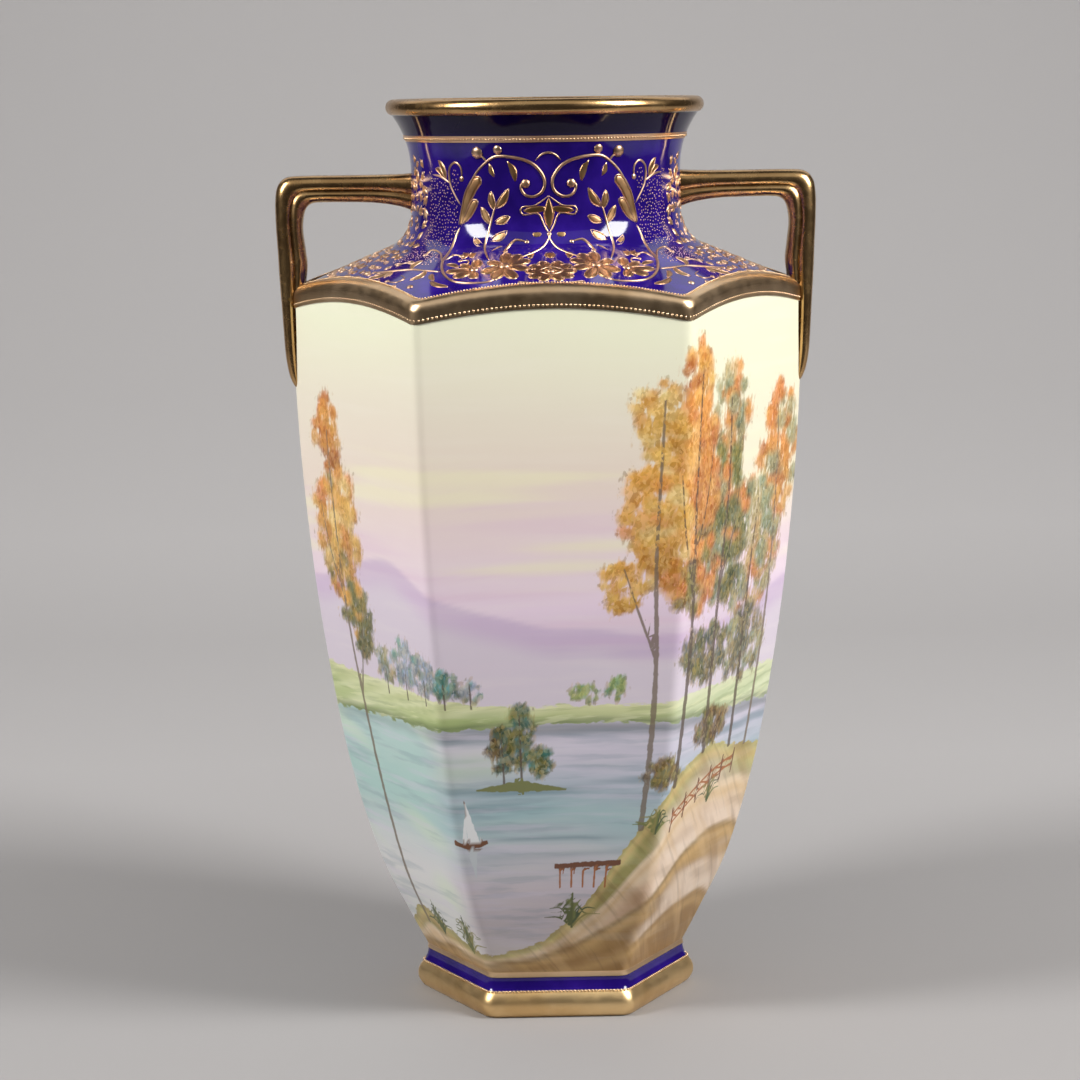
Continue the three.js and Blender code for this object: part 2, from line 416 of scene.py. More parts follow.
def lining_rows(angle):
    inner = NECK_RADIUS - WALL
    drop = WALL * np.sqrt(1 + CONE_SLOPE**2)
    at_corner = WALL / np.cos(HALF)
    throat = bend((44.2 * MM, 295.4 * MM), (inner, 290 * MM), (inner, NECK_HIGH), 6)
    hollow_end = (HOLLOW_END, cone_height(HOLLOW_END) - drop)
    hollow = bend((inner, NECK_LOW - 3 * MM), (inner, cone_height(inner) - drop), hollow_end, 6)
    corner = edge_height(angle, at_corner, drop)
    last_r = body_radius(corner, angle, at_corner)
    fraction = np.linspace(0, 1, 5)[1:, None]
    r = HOLLOW_END + (last_r - HOLLOW_END) * fraction
    ceiling = np.stack([r, cone_height(r) - drop], axis=-1)
    down = np.linspace(0, 1, 12)[1:, None] ** 0.85
    z = corner + (FLOOR_EDGE_HEIGHT - corner) * down
    inner_wall = np.stack([body_radius(z, angle, at_corner), z], axis=-1)
    floor_r = body_radius(np.array([FLOOR_HEIGHT]), angle, at_corner) * np.array([[0.93], [0.5], [0.0]])
    floor = np.stack([floor_r, FLOOR_HEIGHT + 0 * floor_r], axis=-1)
    round_part = round_rows(np.concatenate([throat, hollow]), angle)
    return np.concatenate([round_part, ceiling, inner_wall, floor])


STRETCHES = [
    ("lining", recess_rows),
    ("bare_ring", ring_rows),
    ("foot_gold", roll_rows),
    ("cobalt", cove_rows),
    ("gilding", line_rows),
    ("painting", wall_rows),
    ("gilding", moulding_rows),
    ("cobalt", shoulder_rows),
    ("pink_gold", neck_band_rows),
    ("cobalt", flare_rows),
    ("handle_gold", lip_rows),
    ("handle_gold", inner_lip_rows),
    ("lining", lining_rows),
]
FINISHES = ["painting", "cobalt", "gilding", "handle_gold", "pink_gold", "foot_gold", "lining", "bare_ring"]
stretches = [rows(angles) for _, rows in STRETCHES]
outline = np.concatenate(stretches)
row_slots = [[FINISHES.index(name)] * len(rows) for (name, _), rows in zip(STRETCHES, stretches)]
slot_of_row = np.concatenate(row_slots)
print("rows:", outline.shape[0])


def stood_up(outline, angles):
    """Rows of (r, z) as points in space."""
    r, z = outline[..., 0], outline[..., 1]
    return np.stack([r * np.cos(angles), r * np.sin(angles), z], axis=-1)


# %% [markdown]
# ## The painted scene, as fields over the surface
# A china painter lays in broad washes first, then masses of foliage, and last the fine strokes. The broad
# work is worked out here, once for each vertex of the wall: a colour for the wash, and a colour and a
# thickness for the foliage. The finish later breaks these soft fields into brush dabs. The scene is a
# general autumn lakeside: a wide water with a small island, a level far shore, slim trees on a knoll at the
# right and a single birch at the far left. It runs on round the back, where it is plainer.

# %% Colour and noise helpers for the painter
FACE = 84.0
WAY_ROUND = 6 * FACE
first_wall_row = sum(len(rows) for rows in stretches[:5])
wall = slice(first_wall_row, first_wall_row + len(stretches[5]))
unrolled = np.broadcast_to(round_place * FACE, outline.shape[:2])
paint_x = np.mod(unrolled[wall] + WAY_ROUND / 2, WAY_ROUND) - WAY_ROUND / 2
paint_z = outline[wall, :, 1] / MM


def linear(red, green, blue):
    """A colour given as on a paint chart, from 0 to 255, in the linear values that light needs."""
    value = np.array([red, green, blue]) / 255
    return np.where(value <= 0.04045, value / 12.92, ((value + 0.055) / 1.055) ** 2.4)


def smooth(value, low, high):
    t = np.clip((value - low) / (high - low), 0, 1)
    return t * t * (3 - 2 * t)


def over(canvas, colour, amount):
    return canvas + (linear(*colour) - canvas) * amount[..., None]


def ramp(value, stops):
    places = [place for place, _ in stops]
    colours = np.array([linear(*colour) for _, colour in stops])
    return np.stack([np.interp(value, places, colours[:, band]) for band in range(3)], axis=-1)


WAVES = 7


def ripple(x, z, across, up, seed):
    """A soft, repeatable unevenness between -1 and 1 that joins up round the vase."""
    waves = np.random.default_rng(seed)
    total = 0 * x
    for _ in range(WAVES):
        turns = waves.integers(1, max(2, int(WAY_ROUND / across)) + 1)
        rise = waves.normal(0, 1 / up)
        total = total + np.sin(2 * np.pi * (turns * x / WAY_ROUND + rise * z) + waves.uniform(0, 6.28))
    return total / WAVES**0.5 / 1.3


def level(knots):
    """A height that runs smoothly through (face place, height) knots and joins up round the vase."""
    places, heights = np.array(knots, dtype=float).T * [[FACE], [1]]
    places = np.concatenate([places - WAY_ROUND, places, places + WAY_ROUND])
    curve = catmull(np.stack([places, np.tile(heights, 3)], axis=1), 12)
    return np.interp(paint_x, curve[:, 0], curve[:, 1])


def under(edge, width):
    """1 under an edge and 0 above it, with a soft boundary of that width."""
    return smooth(edge - paint_z, -width / 2, width / 2)


def along_edge(edge, offset, width):
    """A soft line that follows an edge at an offset."""
    return np.exp(-(((paint_z - edge - offset) / width) ** 2))


# %% [markdown]
# The wash goes from the back to the front, as on an easel: sky, far hills, far meadow, water, near bank.

# %% The sky and the far hills
SKY = [
    (112, (226, 214, 222)),
    (128, (220, 200, 218)),
    (146, (244, 222, 238)),
    (164, (245, 225, 226)),
    (184, (244, 227, 212)),
    (206, (244, 234, 214)),
    (236, (248, 248, 218)),
]
HILLS = [(-3, 134), (-2.2, 140), (-1.5, 145), (-0.9, 157), (-0.45, 147), (-0.1, 139), (0.3, 136),
         (0.75, 134), (1.15, 138), (1.6, 143), (2.3, 138)]
# The wash is painted paler on the right face, as painted glare from the light at the right
right_face_glare = smooth(paint_x, 0.42 * FACE, 0.58 * FACE) * smooth(-paint_x, -2.4 * FACE, -1.6 * FACE)
leftness = smooth(-paint_x, 0.45 * FACE, 0.75 * FACE) * smooth(paint_x, -2.4 * FACE, -1.6 * FACE)

sky = ramp(paint_z + 4 * ripple(paint_x, paint_z, 110, 90, 1), SKY)
cloud_belt = smooth(paint_z, 142, 160) * (1 - smooth(paint_z, 186, 204))
cloud = smooth(ripple(paint_x, paint_z, 130, 18, 2), 0.1, 0.9) * cloud_belt
sky = over(sky, (252, 246, 208), 0.6 * cloud)
blush = smooth(ripple(paint_x, paint_z, 150, 15, 3), 0.1, 0.9) * (1 - smooth(paint_z, 168, 190))
sky = over(sky, (236, 206, 224), 0.5 * blush)
# Painted glare: the sky paler on the right face
sky = over(sky, (244, 240, 204), 0.5 * right_face_glare * smooth(paint_z, 140, 190))
hills = level(HILLS) + 0.9 * ripple(paint_x, paint_z, 26, 900, 4)
sky = over(sky, (196, 172, 208), 0.5 * under(hills, 2.2))
sky = over(sky, (230, 220, 228), 0.75 * under(hills - 8, 9))

# %% The meadow
# Colours at distances below the far shore, in mm
MEADOW = [
    (0, (224, 224, 176)),
    (2, (214, 218, 164)),
    (8, (196, 208, 148)),
    (24, (182, 198, 132)),
]
FAR_SHORE = [(-3, 112), (-2.3, 114), (-1.6, 116), (-1.1, 115), (-0.6, 114), (-0.2, 112), (0.2, 112),
             (0.6, 113), (1.0, 113), (1.5, 114), (2, 112), (2.5, 111)]
shore = level(FAR_SHORE) + 0.35 * ripple(paint_x, paint_z, 14, 900, 5)
depth = shore - paint_z
sweeps = ripple(paint_x, paint_z - 0.18 * paint_x, 90, 7, 6)
meadow = ramp(depth, MEADOW)
meadow = over(meadow, (160, 180, 110), 0.6 * smooth(sweeps, 0.1, 0.9) * smooth(depth, 1, 4))
meadow = over(meadow, (240, 242, 200), 0.6 * smooth(-sweeps, 0.2, 1.0))
# Painted glare: the meadow paler on the right face
meadow = over(meadow, (234, 242, 214), 0.4 * right_face_glare)

# %% The water
WATER = [
    (20, (208, 200, 202)),
    (46, (214, 204, 212)),
    (60, (202, 208, 214)),
    (72, (172, 202, 206)),
    (84, (180, 196, 206)),
    (96, (212, 208, 222)),
    (106, (220, 212, 226)),
]
WATER_LINE = [(-3, 98), (-2.3, 99), (-1.6, 100), (-1.1, 102), (-0.6, 103), (-0.2, 105), (0.2, 106),
              (0.6, 105), (1.0, 103), (1.5, 101), (2, 99), (2.5, 98)]
line = level(WATER_LINE) + 0.25 * ripple(paint_x, paint_z, 12, 900, 7)
streaks = ripple(paint_x, paint_z, 90, 8, 8)
meadow = over(meadow, (92, 108, 72), 0.7 * along_edge(line, 0.6, 1.5))
water = ramp(paint_z + 4 * ripple(paint_x, paint_z, 90, 40, 9), WATER)
water = over(water, (92, 128, 142),
             0.55 * (1 - leftness) * smooth(streaks, 0.1, 0.9) * smooth(paint_z, 54, 68))
water = over(water, (216, 210, 222), 0.4 * (1 - leftness) * smooth(-streaks, 0.3, 1.0))
water = over(water, (200, 222, 180),
             0.45 * (1 - leftness) * along_edge(line, -13, 5) * smooth(-paint_x, 0, 30))
water = over(water, (188, 224, 212), 0.75 * leftness * smooth(paint_z, 46, 84))
water = over(water, (238, 240, 236), 0.8 * leftness * (1 - smooth(paint_z, 40, 78)))
slanting = ripple(paint_x, paint_z + 0.35 * paint_x, 80, 16, 10)
water = over(water, (222, 238, 208), 0.5 * leftness * smooth(slanting, 0.1, 1.0))
water = over(water, (86, 100, 100), 0.6 * along_edge(line, -1.4, 2.2) * (1 - 0.5 * leftness))

# %% [markdown]
# The near bank is built of overlapping swells of ground. Each has a light rim and gets darker below.

# %% The near bank
# Each swell: its top edge, its light and dark colours, and how deep it goes from light to dark
BANKS = [
    ([(-3, 30), (-2.4, 22), (-1.9, 19), (-1.5, 24), (-1.2, 32), (-0.9, 27), (-0.5, 22), (-0.1, 28),
      (0.15, 42), (0.35, 64), (0.55, 82), (0.8, 91), (1.1, 90), (1.5, 84), (1.9, 70), (2.4, 46)],
     (232, 224, 150), (164, 158, 96), 9),
    ([(-3, 26), (-2.4, 20), (-1.9, 17), (-1.5, 20), (-1.2, 25), (-0.9, 22), (-0.5, 20), (-0.1, 25),
      (0.2, 38), (0.45, 58), (0.7, 73), (1.0, 77), (1.5, 72), (1.9, 58), (2.4, 38)],
     (246, 222, 190), (214, 176, 142), 18),
    ([(-3, 24), (-2.4, 18), (-1.9, 16), (-1.5, 18), (-1, 20), (-0.5, 19), (0, 24), (0.3, 34), (0.6, 46),
      (0.9, 57), (1.2, 60), (1.6, 54), (2, 42), (2.5, 30)], (204, 166, 108), (160, 122, 68), 12),
    ([(-3, 18), (-2.3, 15), (-1.6, 16), (-1, 17), (-0.5, 17), (0, 19), (0.4, 24), (0.8, 33), (1.2, 36),
      (1.6, 30), (2.2, 22)], (180, 142, 88), (162, 124, 72), 10),
]
bank = ramp(paint_z, [(10, (150, 118, 70)), (100, (220, 208, 140))])
bank_top = 0 * paint_x
for number, (knots, light, dark, reach) in enumerate(BANKS):
    top = level(knots) + 0.6 * ripple(paint_x, paint_z, 24, 900, 20 + number)
    mask = under(top, 2.6)
    below = top - paint_z + 3 * ripple(paint_x + paint_z, paint_z, 50, 14, 30 + number)
    bank = over(bank, light, mask)
    bank = over(bank, dark, mask * smooth(below, 1, reach))
    # Painted glare: the swells nearly white below their rims on the right face
    bank = over(bank, (252, 230, 208), 0.85 * mask * right_face_glare * smooth(below, 3, 16) * (number < 3))
    bank = over(bank, (100, 84, 54), 0.5 * mask * along_edge(top, -0.6, 1.5) * (number in (0, 2)))
    bank = over(bank, (222, 184, 124), 0.5 * mask * along_edge(top, -4.0, 1.8))
    bank_top = np.maximum(bank_top, top)
shaded = smooth(ripple(paint_x + 1.2 * paint_z, paint_z, 46, 13, 41), 0.15, 0.9)
bank = over(bank, (138, 106, 64), 0.25 * shaded)

wash = sky
for layer, edge in ((meadow, shore), (water, line), (bank, bank_top)):
    wash = wash + (layer - wash) * under(edge, 1.2)[..., None]
print("wash done")

# %% [markdown]
# Foliage is stippled with a brush, so a tree's crown is a cloud of small clumps. Each crown below is an
# ellipse that is filled with clumps, from its dark underside to its light top. A clump gets a colour of
# its own from the crown's palette, lighter at its upper left.

# %% Palettes of the foliage
RUST = [(214, 122, 44), (228, 146, 60), (238, 178, 98), (216, 130, 40), (232, 164, 72), (190, 104, 40)]
GOLD_LEAF = [(230, 170, 72), (242, 194, 100), (218, 150, 54), (246, 212, 140)]
OLIVE = [(96, 104, 38), (66, 92, 40), (120, 118, 54), (48, 76, 36)]
SAGE = [(158, 160, 124), (134, 150, 120), (184, 174, 134), (118, 136, 110), (206, 170, 118)]
UMBER = [(76, 52, 26), (96, 70, 38), (60, 44, 24), (116, 90, 50)]
LEAF_GREEN = [(128, 170, 98), (100, 150, 86), (164, 192, 118)]
TEAL = [(56, 142, 138), (96, 172, 168), (34, 108, 108)]
MIST = [(146, 168, 196), (124, 148, 174), (176, 190, 204), (140, 156, 138)]
DUSK = [(108, 104, 88), (84, 88, 72), (128, 122, 96), (76, 92, 84)]

# Each crown: face place, height, half width and half height in mm, size of its clumps in mm, their number,
# how full it is, and its palettes
CROWNS = [
    (1.30, 184, 15, 26, 4.8, 80, 0.85, RUST + SAGE[:2]),
    (1.12, 156, 20, 24, 4.8, 100, 0.85, SAGE + SAGE + RUST[:2]),
    (1.12, 124, 18, 12, 4.0, 60, 0.90, DUSK + SAGE[:2]),
    (0.86, 204, 13, 16, 4.2, 60, 0.90, SAGE + RUST[:2]),
    (0.84, 168, 17, 26, 4.6, 110, 0.95, OLIVE + SAGE[1:2] + RUST[:1]),
    (0.60, 218, 10, 11, 3.6, 40, 0.90, RUST + GOLD_LEAF[:2]),
    (0.60, 188, 15, 24, 4.4, 110, 1.0, RUST),
    (0.61, 154, 15, 14, 4.0, 80, 1.0, RUST[:3] + OLIVE[2:3] + UMBER[1:2]),
    (0.40, 204, 8, 14, 3.4, 46, 0.90, GOLD_LEAF),
    (0.40, 172, 12, 22, 3.8, 90, 0.95, GOLD_LEAF + RUST[1:3]),
    (0.27, 152, 7, 10, 3.0, 34, 0.85, GOLD_LEAF[:3]),
    (0.72, 126, 18, 10, 3.6, 70, 0.90, DUSK + OLIVE[:2]),
    (0.50, 88, 9, 5, 2.4, 40, 1.0, UMBER[1:] + OLIVE[2:3]),
    (0.88, 99, 13, 6, 2.6, 60, 1.0, UMBER + OLIVE[:1]),
    (-1.22, 164, 15, 24, 4.4, 100, 0.90, GOLD_LEAF + OLIVE[2:3] + RUST[:2]),
    (-1.12, 134, 11, 12, 3.6, 50, 0.90, OLIVE + GOLD_LEAF[:1]),
    (-1.24, 196, 9, 12, 3.6, 40, 0.90, RUST + GOLD_LEAF[:1]),
    (-0.24, 97, 5.0, 8, 2.0, 50, 1.0, TEAL[2:] + OLIVE[3:] + UMBER[:1]),
    (-0.16, 102, 4.6, 12, 2.0, 60, 1.0, TEAL[2:] + OLIVE[:2]),
    (-0.08, 93, 5.4, 5.6, 1.9, 40, 1.0, OLIVE + TEAL[:1]),
    (-0.36, 117, 4.4, 3.6, 1.6, 18, 0.95, MIST + TEAL[1:2]),
    (-0.47, 119, 5.6, 5.0, 1.9, 30, 0.95, TEAL),
    (-0.60, 121, 7.4, 6.4, 2.2, 44, 0.95, MIST),
    (-0.76, 123, 8.4, 8.0, 2.4, 50, 0.95, MIST[:3] + TEAL[1:2]),
    (-0.93, 121, 7.0, 6.0, 2.2, 40, 0.90, SAGE[:4] + MIST),
    (0.12, 116, 5.0, 3.2, 1.5, 20, 0.95, LEAF_GREEN),
    (0.26, 117, 4.2, 4.2, 1.6, 20, 0.95, LEAF_GREEN + TEAL[:1]),
    (1.9, 134, 14, 16, 4.0, 50, 0.9, SAGE + GOLD_LEAF[:2]),
    (2.5, 134, 16, 18, 4.2, 60, 0.9, OLIVE + RUST[:2]),
    (-2.05, 150, 16, 26, 4.4, 90, 0.85, RUST + SAGE[:2]),
    (-2.6, 140, 12, 20, 4.0, 50, 0.85, OLIVE + GOLD_LEAF[:2]),
]


def from_place(place):
    """Distance along the surface from a face place, the short way round."""
    return np.mod(paint_x - place * FACE + WAY_ROUND / 2, WAY_ROUND) - WAY_ROUND / 2


leaf_random = np.random.default_rng(11)
leaf_colour = wash.copy()
leaf_cover = 0 * paint_x
for place, height, wide, high, size, clumps, full, palette in CROWNS:
    offsets = []
    for _ in range(clumps):
        turn, out = leaf_random.uniform(0, 2 * np.pi), leaf_random.uniform(0, 1) ** 0.55
        offsets.append((wide * out * np.cos(turn), high * out * np.sin(turn), out))
    offsets.sort(key=lambda offset: offset[1] - 0.4 * offset[0] + leaf_random.uniform(-high, high))
    for x_off, z_off, out in offsets:
        base = linear(*palette[leaf_random.integers(len(palette))])
        clump = size * leaf_random.uniform(0.7, 1.25) * (1.12 - 0.35 * out)
        x_away, z_away = from_place(place) - x_off, paint_z - height - z_off
        away = np.hypot(x_away / 1.15, z_away) / clump
        light = np.clip(0.5 + 0.32 * (z_away - 0.5 * x_away) / clump + 0.25 * z_off / high, 0, 1)
        tint = base * (0.68 + 0.64 * light[..., None])
        mask = smooth(-away, -1.15, -0.45)
        leaf_colour = leaf_colour + (tint - leaf_colour) * (mask * 0.85)[..., None]
        leaf_cover = np.maximum(leaf_cover, full * np.exp(-0.75 * away**2))
leaf_colour = np.clip(leaf_colour, 0, 1)
print("crowns done")

# %% [markdown]
# Last come the single strokes of a fine brush: trunks and twigs, an island, a jetty, a fence, a boat and
# reeds. A stroke is often thinner than the distance between two vertices. So each vertex keeps how far it
# lies to the side of its nearest stroke, with a sign for left or right. This runs evenly across the
# stroke, so the finish finds the stroke's exact middle between the vertices.

# %% Strokes of the fine brush
# Each stroke: face place and height of its points, half widths in mm at its ends, and its colour
BARK, BARK_PALE, TURF = (92, 76, 62), (126, 110, 92), (128, 132, 84)
PLANK, PLANK_DARK, SAIL, HULL = (176, 110, 64), (120, 78, 56), (242, 244, 244), (120, 78, 52)
TWIGS = [
    ([(0.40, 70), (0.41, 118), (0.39, 160), (0.41, 210)], 1.2, 0.35, BARK_PALE),
    ([(0.40, 128), (0.33, 142), (0.27, 156)], 0.6, 0.2, BARK_PALE),
    ([(0.58, 84), (0.60, 130), (0.58, 176), (0.61, 220)], 1.6, 0.4, BARK),
    ([(0.59, 146), (0.51, 166), (0.48, 186)], 0.7, 0.2, BARK),
    ([(0.59, 160), (0.67, 176), (0.71, 194)], 0.7, 0.2, BARK),
    ([(0.84, 92), (0.82, 138), (0.86, 178), (0.86, 208)], 1.4, 0.4, BARK),
    ([(0.83, 148), (0.92, 164), (0.96, 180)], 0.6, 0.2, BARK),
    ([(1.12, 90), (1.10, 138), (1.14, 172)], 1.3, 0.35, BARK),
    ([(1.30, 88), (1.31, 150), (1.29, 198)], 1.1, 0.3, BARK_PALE),
    ([(-1.20, 28), (-1.17, 80), (-1.22, 134), (-1.24, 196)], 1.4, 0.35, BARK_PALE),
    ([(-1.19, 108), (-1.13, 122), (-1.08, 138)], 0.6, 0.2, BARK_PALE),
    ([(-1.22, 140), (-1.30, 156), (-1.34, 172)], 0.6, 0.2, BARK_PALE),
    ([(-0.24, 85), (-0.24, 100)], 0.5, 0.25, BARK),
    ([(-0.16, 85), (-0.16, 108)], 0.5, 0.25, BARK),
    ([(1.9, 110), (1.9, 144)], 0.8, 0.3, BARK),
    ([(2.5, 108), (2.52, 136), (2.48, 150)], 1.0, 0.35, BARK),
    ([(-2.05, 110), (-2.03, 140), (-2.07, 172)], 1.4, 0.35, BARK),
    ([(-2.6, 110), (-2.58, 150)], 1.0, 0.35, BARK),
]
# The small trees of the far shore have short straight trunks
TWIGS += [([(place, 112), (place, 119)], 0.4, 0.25, BARK) for place in (-0.93, -0.76, -0.6, -0.47, -0.36)]
# The jetty runs out from the knoll, and the fence follows its slope: the heights of a deck and of a rail
JETTY_END, JETTY_ROOT, JETTY_HEIGHT = 0.0, 0.3, 56
FENCE = [(0.6 + 0.12 * step, 72 + 12 * np.sin(0.3 * step)) for step in range(6)]
FIGURES = [([(place, JETTY_HEIGHT), (place, JETTY_HEIGHT - 7)], 0.45, 0.4, PLANK)
           for place in np.linspace(JETTY_END + 0.01, JETTY_ROOT - 0.05, 5)]
FIGURES += [([(place, height - 5), (place, height + 1.6)], 0.5, 0.45, PLANK_DARK) for place, height in FENCE]
FIGURES += [
    ([(JETTY_END, JETTY_HEIGHT), (JETTY_ROOT, JETTY_HEIGHT + 1)], 0.9, 1.1, PLANK_DARK),
    (FENCE, 0.4, 0.4, PLANK),
    ([(place, height - 2.8) for place, height in FENCE], 0.4, 0.4, PLANK),
    ([(-0.17, 84.6), (-0.36, 83.4)], 2.2, 0.3, TURF),
    ([(-0.17, 84.6), (0.03, 83.4)], 2.2, 0.3, TURF),
    ([(-0.424, 61.4), (-0.428, 53)], 1.9, 0.2, (206, 212, 216)),
    ([(-0.433, 64), (-0.432, 79)], 0.3, 0.2, HULL),
    ([(-0.410, 66.2), (-0.427, 78)], 2.2, 0.2, SAIL),
    ([(-0.452, 66.4), (-0.437, 74)], 1.2, 0.2, SAIL),
    ([(-0.50, 64.6), (-0.43, 63.4), (-0.36, 64.8)], 0.9, 0.8, HULL),
]
reed_random = np.random.default_rng(3)
REED_COLOURS = [(96, 104, 60), (124, 130, 74), (76, 92, 62), (150, 142, 84)]
# Each tuft: face place and height of its root, its blades, and their length in mm
TUFTS = [(0.08, 34, 11, 13), (0.47, 68, 8, 9), (-0.66, 22, 13, 15), (-1.02, 25, 9, 12), (0.98, 72, 8, 9)]
for root, height, blades, long in TUFTS:
    for lean in np.linspace(-1, 1, blades):
        high = long * (0.95 - 0.62 * lean**2) * reed_random.uniform(0.8, 1.15)
        tip = (root + 0.2 * lean * long / 17, height + high * 0.82)
        middle = (root + 0.1 * lean * long / 17, height + high * 0.8)
        colour = REED_COLOURS[reed_random.integers(len(REED_COLOURS))]
        FIGURES.append(([(root + 0.012 * lean, height), middle, tip], 0.5, 0.12, colour))


def stroked(strokes):
    """The nearest stroke to each vertex: its distance sideways and in full, half width, and colour."""
    best = np.full(paint_x.shape, 1e3)
    facts = np.stack([best, best, 0 * best], axis=-1)
    colours = np.zeros((*paint_x.shape, 3))
    for points, start_width, end_width, colour in strokes:
        line = catmull([(place * FACE, height) for place, height in points], 4)
        widths = np.linspace(start_width, end_width, len(line))
        for number in range(len(line) - 1):
            run, rise = line[number + 1] - line[number]
            long = np.hypot(run, rise)
            x_away, z_away = from_place(line[number, 0] / FACE), paint_z - line[number, 1]
            share = np.clip((x_away * run + z_away * rise) / long**2, 0, 1)
            beside = (x_away * rise - z_away * run) / long
            away = np.hypot(x_away - share * run, z_away - share * rise)
            width = widths[number] + (widths[number + 1] - widths[number]) * share
            nearer = away - width < best
            best = np.where(nearer, away - width, best)
            facts[nearer] = np.stack([beside, away, width], axis=-1)[nearer]
            colours[nearer] = linear(*colour)
    return facts, colours


twig_facts, twig_colours = stroked(TWIGS)
figure_facts, figure_colours = stroked(FIGURES)
print("strokes done")

# %% [markdown]
# ## Laying the sheet on the vessel
# The vessel is now wrapped in one go, with the painter's fields stored as attributes of its vertices.

# %% The vessel
def whole(colour, cover=None):
    """A wall field set into a field for the whole outline."""
    field = np.ones((*outline.shape[:2], 4))
    field[wall, :, :3] = colour
    if cover is not None:
        field[..., 3] = 0
        field[wall, :, 3] = cover
    return field


tints = {
    "sky": whole(sky),
    "meadow": whole(meadow),
    "water": whole(water),
    "bank": whole(bank),
    "edges": whole(np.stack([shore - paint_z, line - paint_z, bank_top - paint_z], axis=-1)),
    "leaves": whole(leaf_colour, leaf_cover),
    "twigs": whole(twig_facts),
    "twig_colours": whole(twig_colours),
    "figures": whole(figure_facts),
    "figure_colours": whole(figure_colours),
}
uv = np.stack([unrolled * MM, outline[..., 1]], axis=-1)
vessel = wrapped_sheet("vessel", stood_up(outline, angles), uv, slot_of_row[:-1], tints)
smoothed(vessel, 32)
print_triangles(vessel)

# %% [markdown]
# ## The handles
# Each handle was pressed in a mould and stuck on. A level bar leaves the neck, turns a square shoulder,
# and comes down beside the body until it sinks into the corner of the vase. Its section is two rounded
# rolls side by side, with a shallow groove between them. The same sheet is wrapped round this path: the
# outer and the inner edge of the handle are given at a number of stations.

# %% Stations of the handle
# Each station: outer x and z, inner x and z, half thickness, all in mm
STATIONS = MM * np.array([
    (42.5, 280.8, 42.5, 267.3, 5.9),
    (46.0, 280.5, 46.0, 268.6, 5.6),
    (50.0, 280.3, 50.0, 269.8, 5.3),
    (58.0, 280.2, 58.0, 270.9, 5.2),
    (70.0, 280.2, 69.0, 271.2, 5.2),
    (80.0, 280.2, 76.0, 271.2, 5.2),
    (86.5, 279.7, 78.8, 270.6, 5.2),
    (89.5, 277.0, 80.3, 269.0, 5.2),
    (90.5, 272.0, 81.1, 266.2, 5.2),
    (90.5, 264.0, 81.4, 262.0, 5.2),
    (90.1, 255.0, 80.7, 255.5, 5.2),
    (89.9, 249.0, 80.2, 250.5, 5.2),
    (89.6, 243.0, 80.8, 245.0, 5.1),
    (89.2, 236.0, 81.8, 238.5, 4.9),
    (88.8, 228.0, 82.0, 231.0, 4.6),
    (88.3, 220.0, 82.1, 222.0, 4.1),
    (87.3, 214.0, 82.3, 215.5, 3.4),
    (86.0, 210.5, 82.6, 211.5, 2.6),
    (84.6, 208.7, 82.8, 209.5, 1.4),
])
# The groove's place, depth and width are shares of the handle's width and thickness
HANDLE_GROOVE = 0.58
GROOVE_DEPTH = 0.24
GROOVE_WIDTH = 0.09
# 2 gives a section that is an ellipse, and more makes it squarer
SQUARENESS = 2.6
SECTION_POINTS = 44


def handle_places(side):
    path = catmull(STATIONS, 8)
    turn = np.linspace(0, 2 * np.pi, SECTION_POINTS + 1)
    across = (1 - np.cos(turn)) / 2
    roundness = (1 - np.abs(2 * across - 1) ** SQUARENESS) ** (1 / SQUARENESS)
    groove = 1 - GROOVE_DEPTH * np.exp(-(((across - HANDLE_GROOVE) / GROOVE_WIDTH) ** 2))
    thickness = roundness * groove * np.where(turn < np.pi, -1, 1)
    outer, inner = path[:, None, 0:2], path[:, None, 2:4]
    middle = outer + (inner - outer) * across[None, :, None]
    depth = path[:, 4:5] * thickness
    places = np.stack([side * middle[..., 0], depth, middle[..., 1]], axis=-1)
    ends = [np.broadcast_to(places[i].mean(axis=0), places[i].shape)[None] for i in (0, -1)]
    return np.concatenate([ends[0], places, ends[1]])


handles = []
for name, side in (("handle_left", -1), ("handle_right", 1)):
    handle = wrapped_sheet(name, handle_places(side))
    smoothed(handle, 60)
    handles.append(handle)

# %% [markdown]
# ## Raised gold on shoulder and neck
# The scrolls were laid on in thick slip with a trailer, fired, gilded and burnished. Here each stroke is
# a curve with a round section that swells and tapers. All strokes are drawn flat on a chart, in degrees
# round the neck and millimetres down from the neck band. They are made a mesh, pressed flatter, and then
# wrapped on the shoulder's surface.

# %% Chart of the shoulder
down_neck = np.concatenate([
    neck_curve[neck_curve[:, 1] < BAND_LOW][::-1],
    [(r, cone_height(r)) for r in np.linspace(CONE_INNER[0], 92 * MM, 30)],
])
steps_down = np.hypot(*np.diff(down_neck, axis=0).T)
way_down = np.concatenate([[0], np.cumsum(steps_down)])
slope_r, slope_z = (np.gradient(down_neck[:, i], way_down) for i in (0, 1))


def onto_shoulder(chart, centre):
    """Places on the shoulder for chart points (along, down, height), round a centre direction."""
    down = chart[:, 1]
    lines = (*down_neck.T, slope_r, slope_z)
    r, z, along_r, along_z = (np.interp(down, way_down, line) for line in lines)
    length = np.hypot(along_r, along_z)
    height = chart[:, 2]
    angle = centre + chart[:, 0] / r
    r, z = r - along_z / length * height, z + along_r / length * height
    return np.stack([r * np.cos(angle), r * np.sin(angle), z], axis=1)


def charted(points):
    """Chart points in metres from (degrees from the middle, mm down)."""
    points = np.asarray(points, dtype=float)
    down = points[:, 1] * MM
    return np.stack([np.radians(points[:, 0]) * np.interp(down, way_down, down_neck[:, 0]), down], axis=1)


# %% [markdown]
# Only the left half of the motif is listed. The right half is its mirror image, as it was on the mould.
# A leaf is a flat fill of gold with a thin raised outline, and a scroll is a raised line alone.

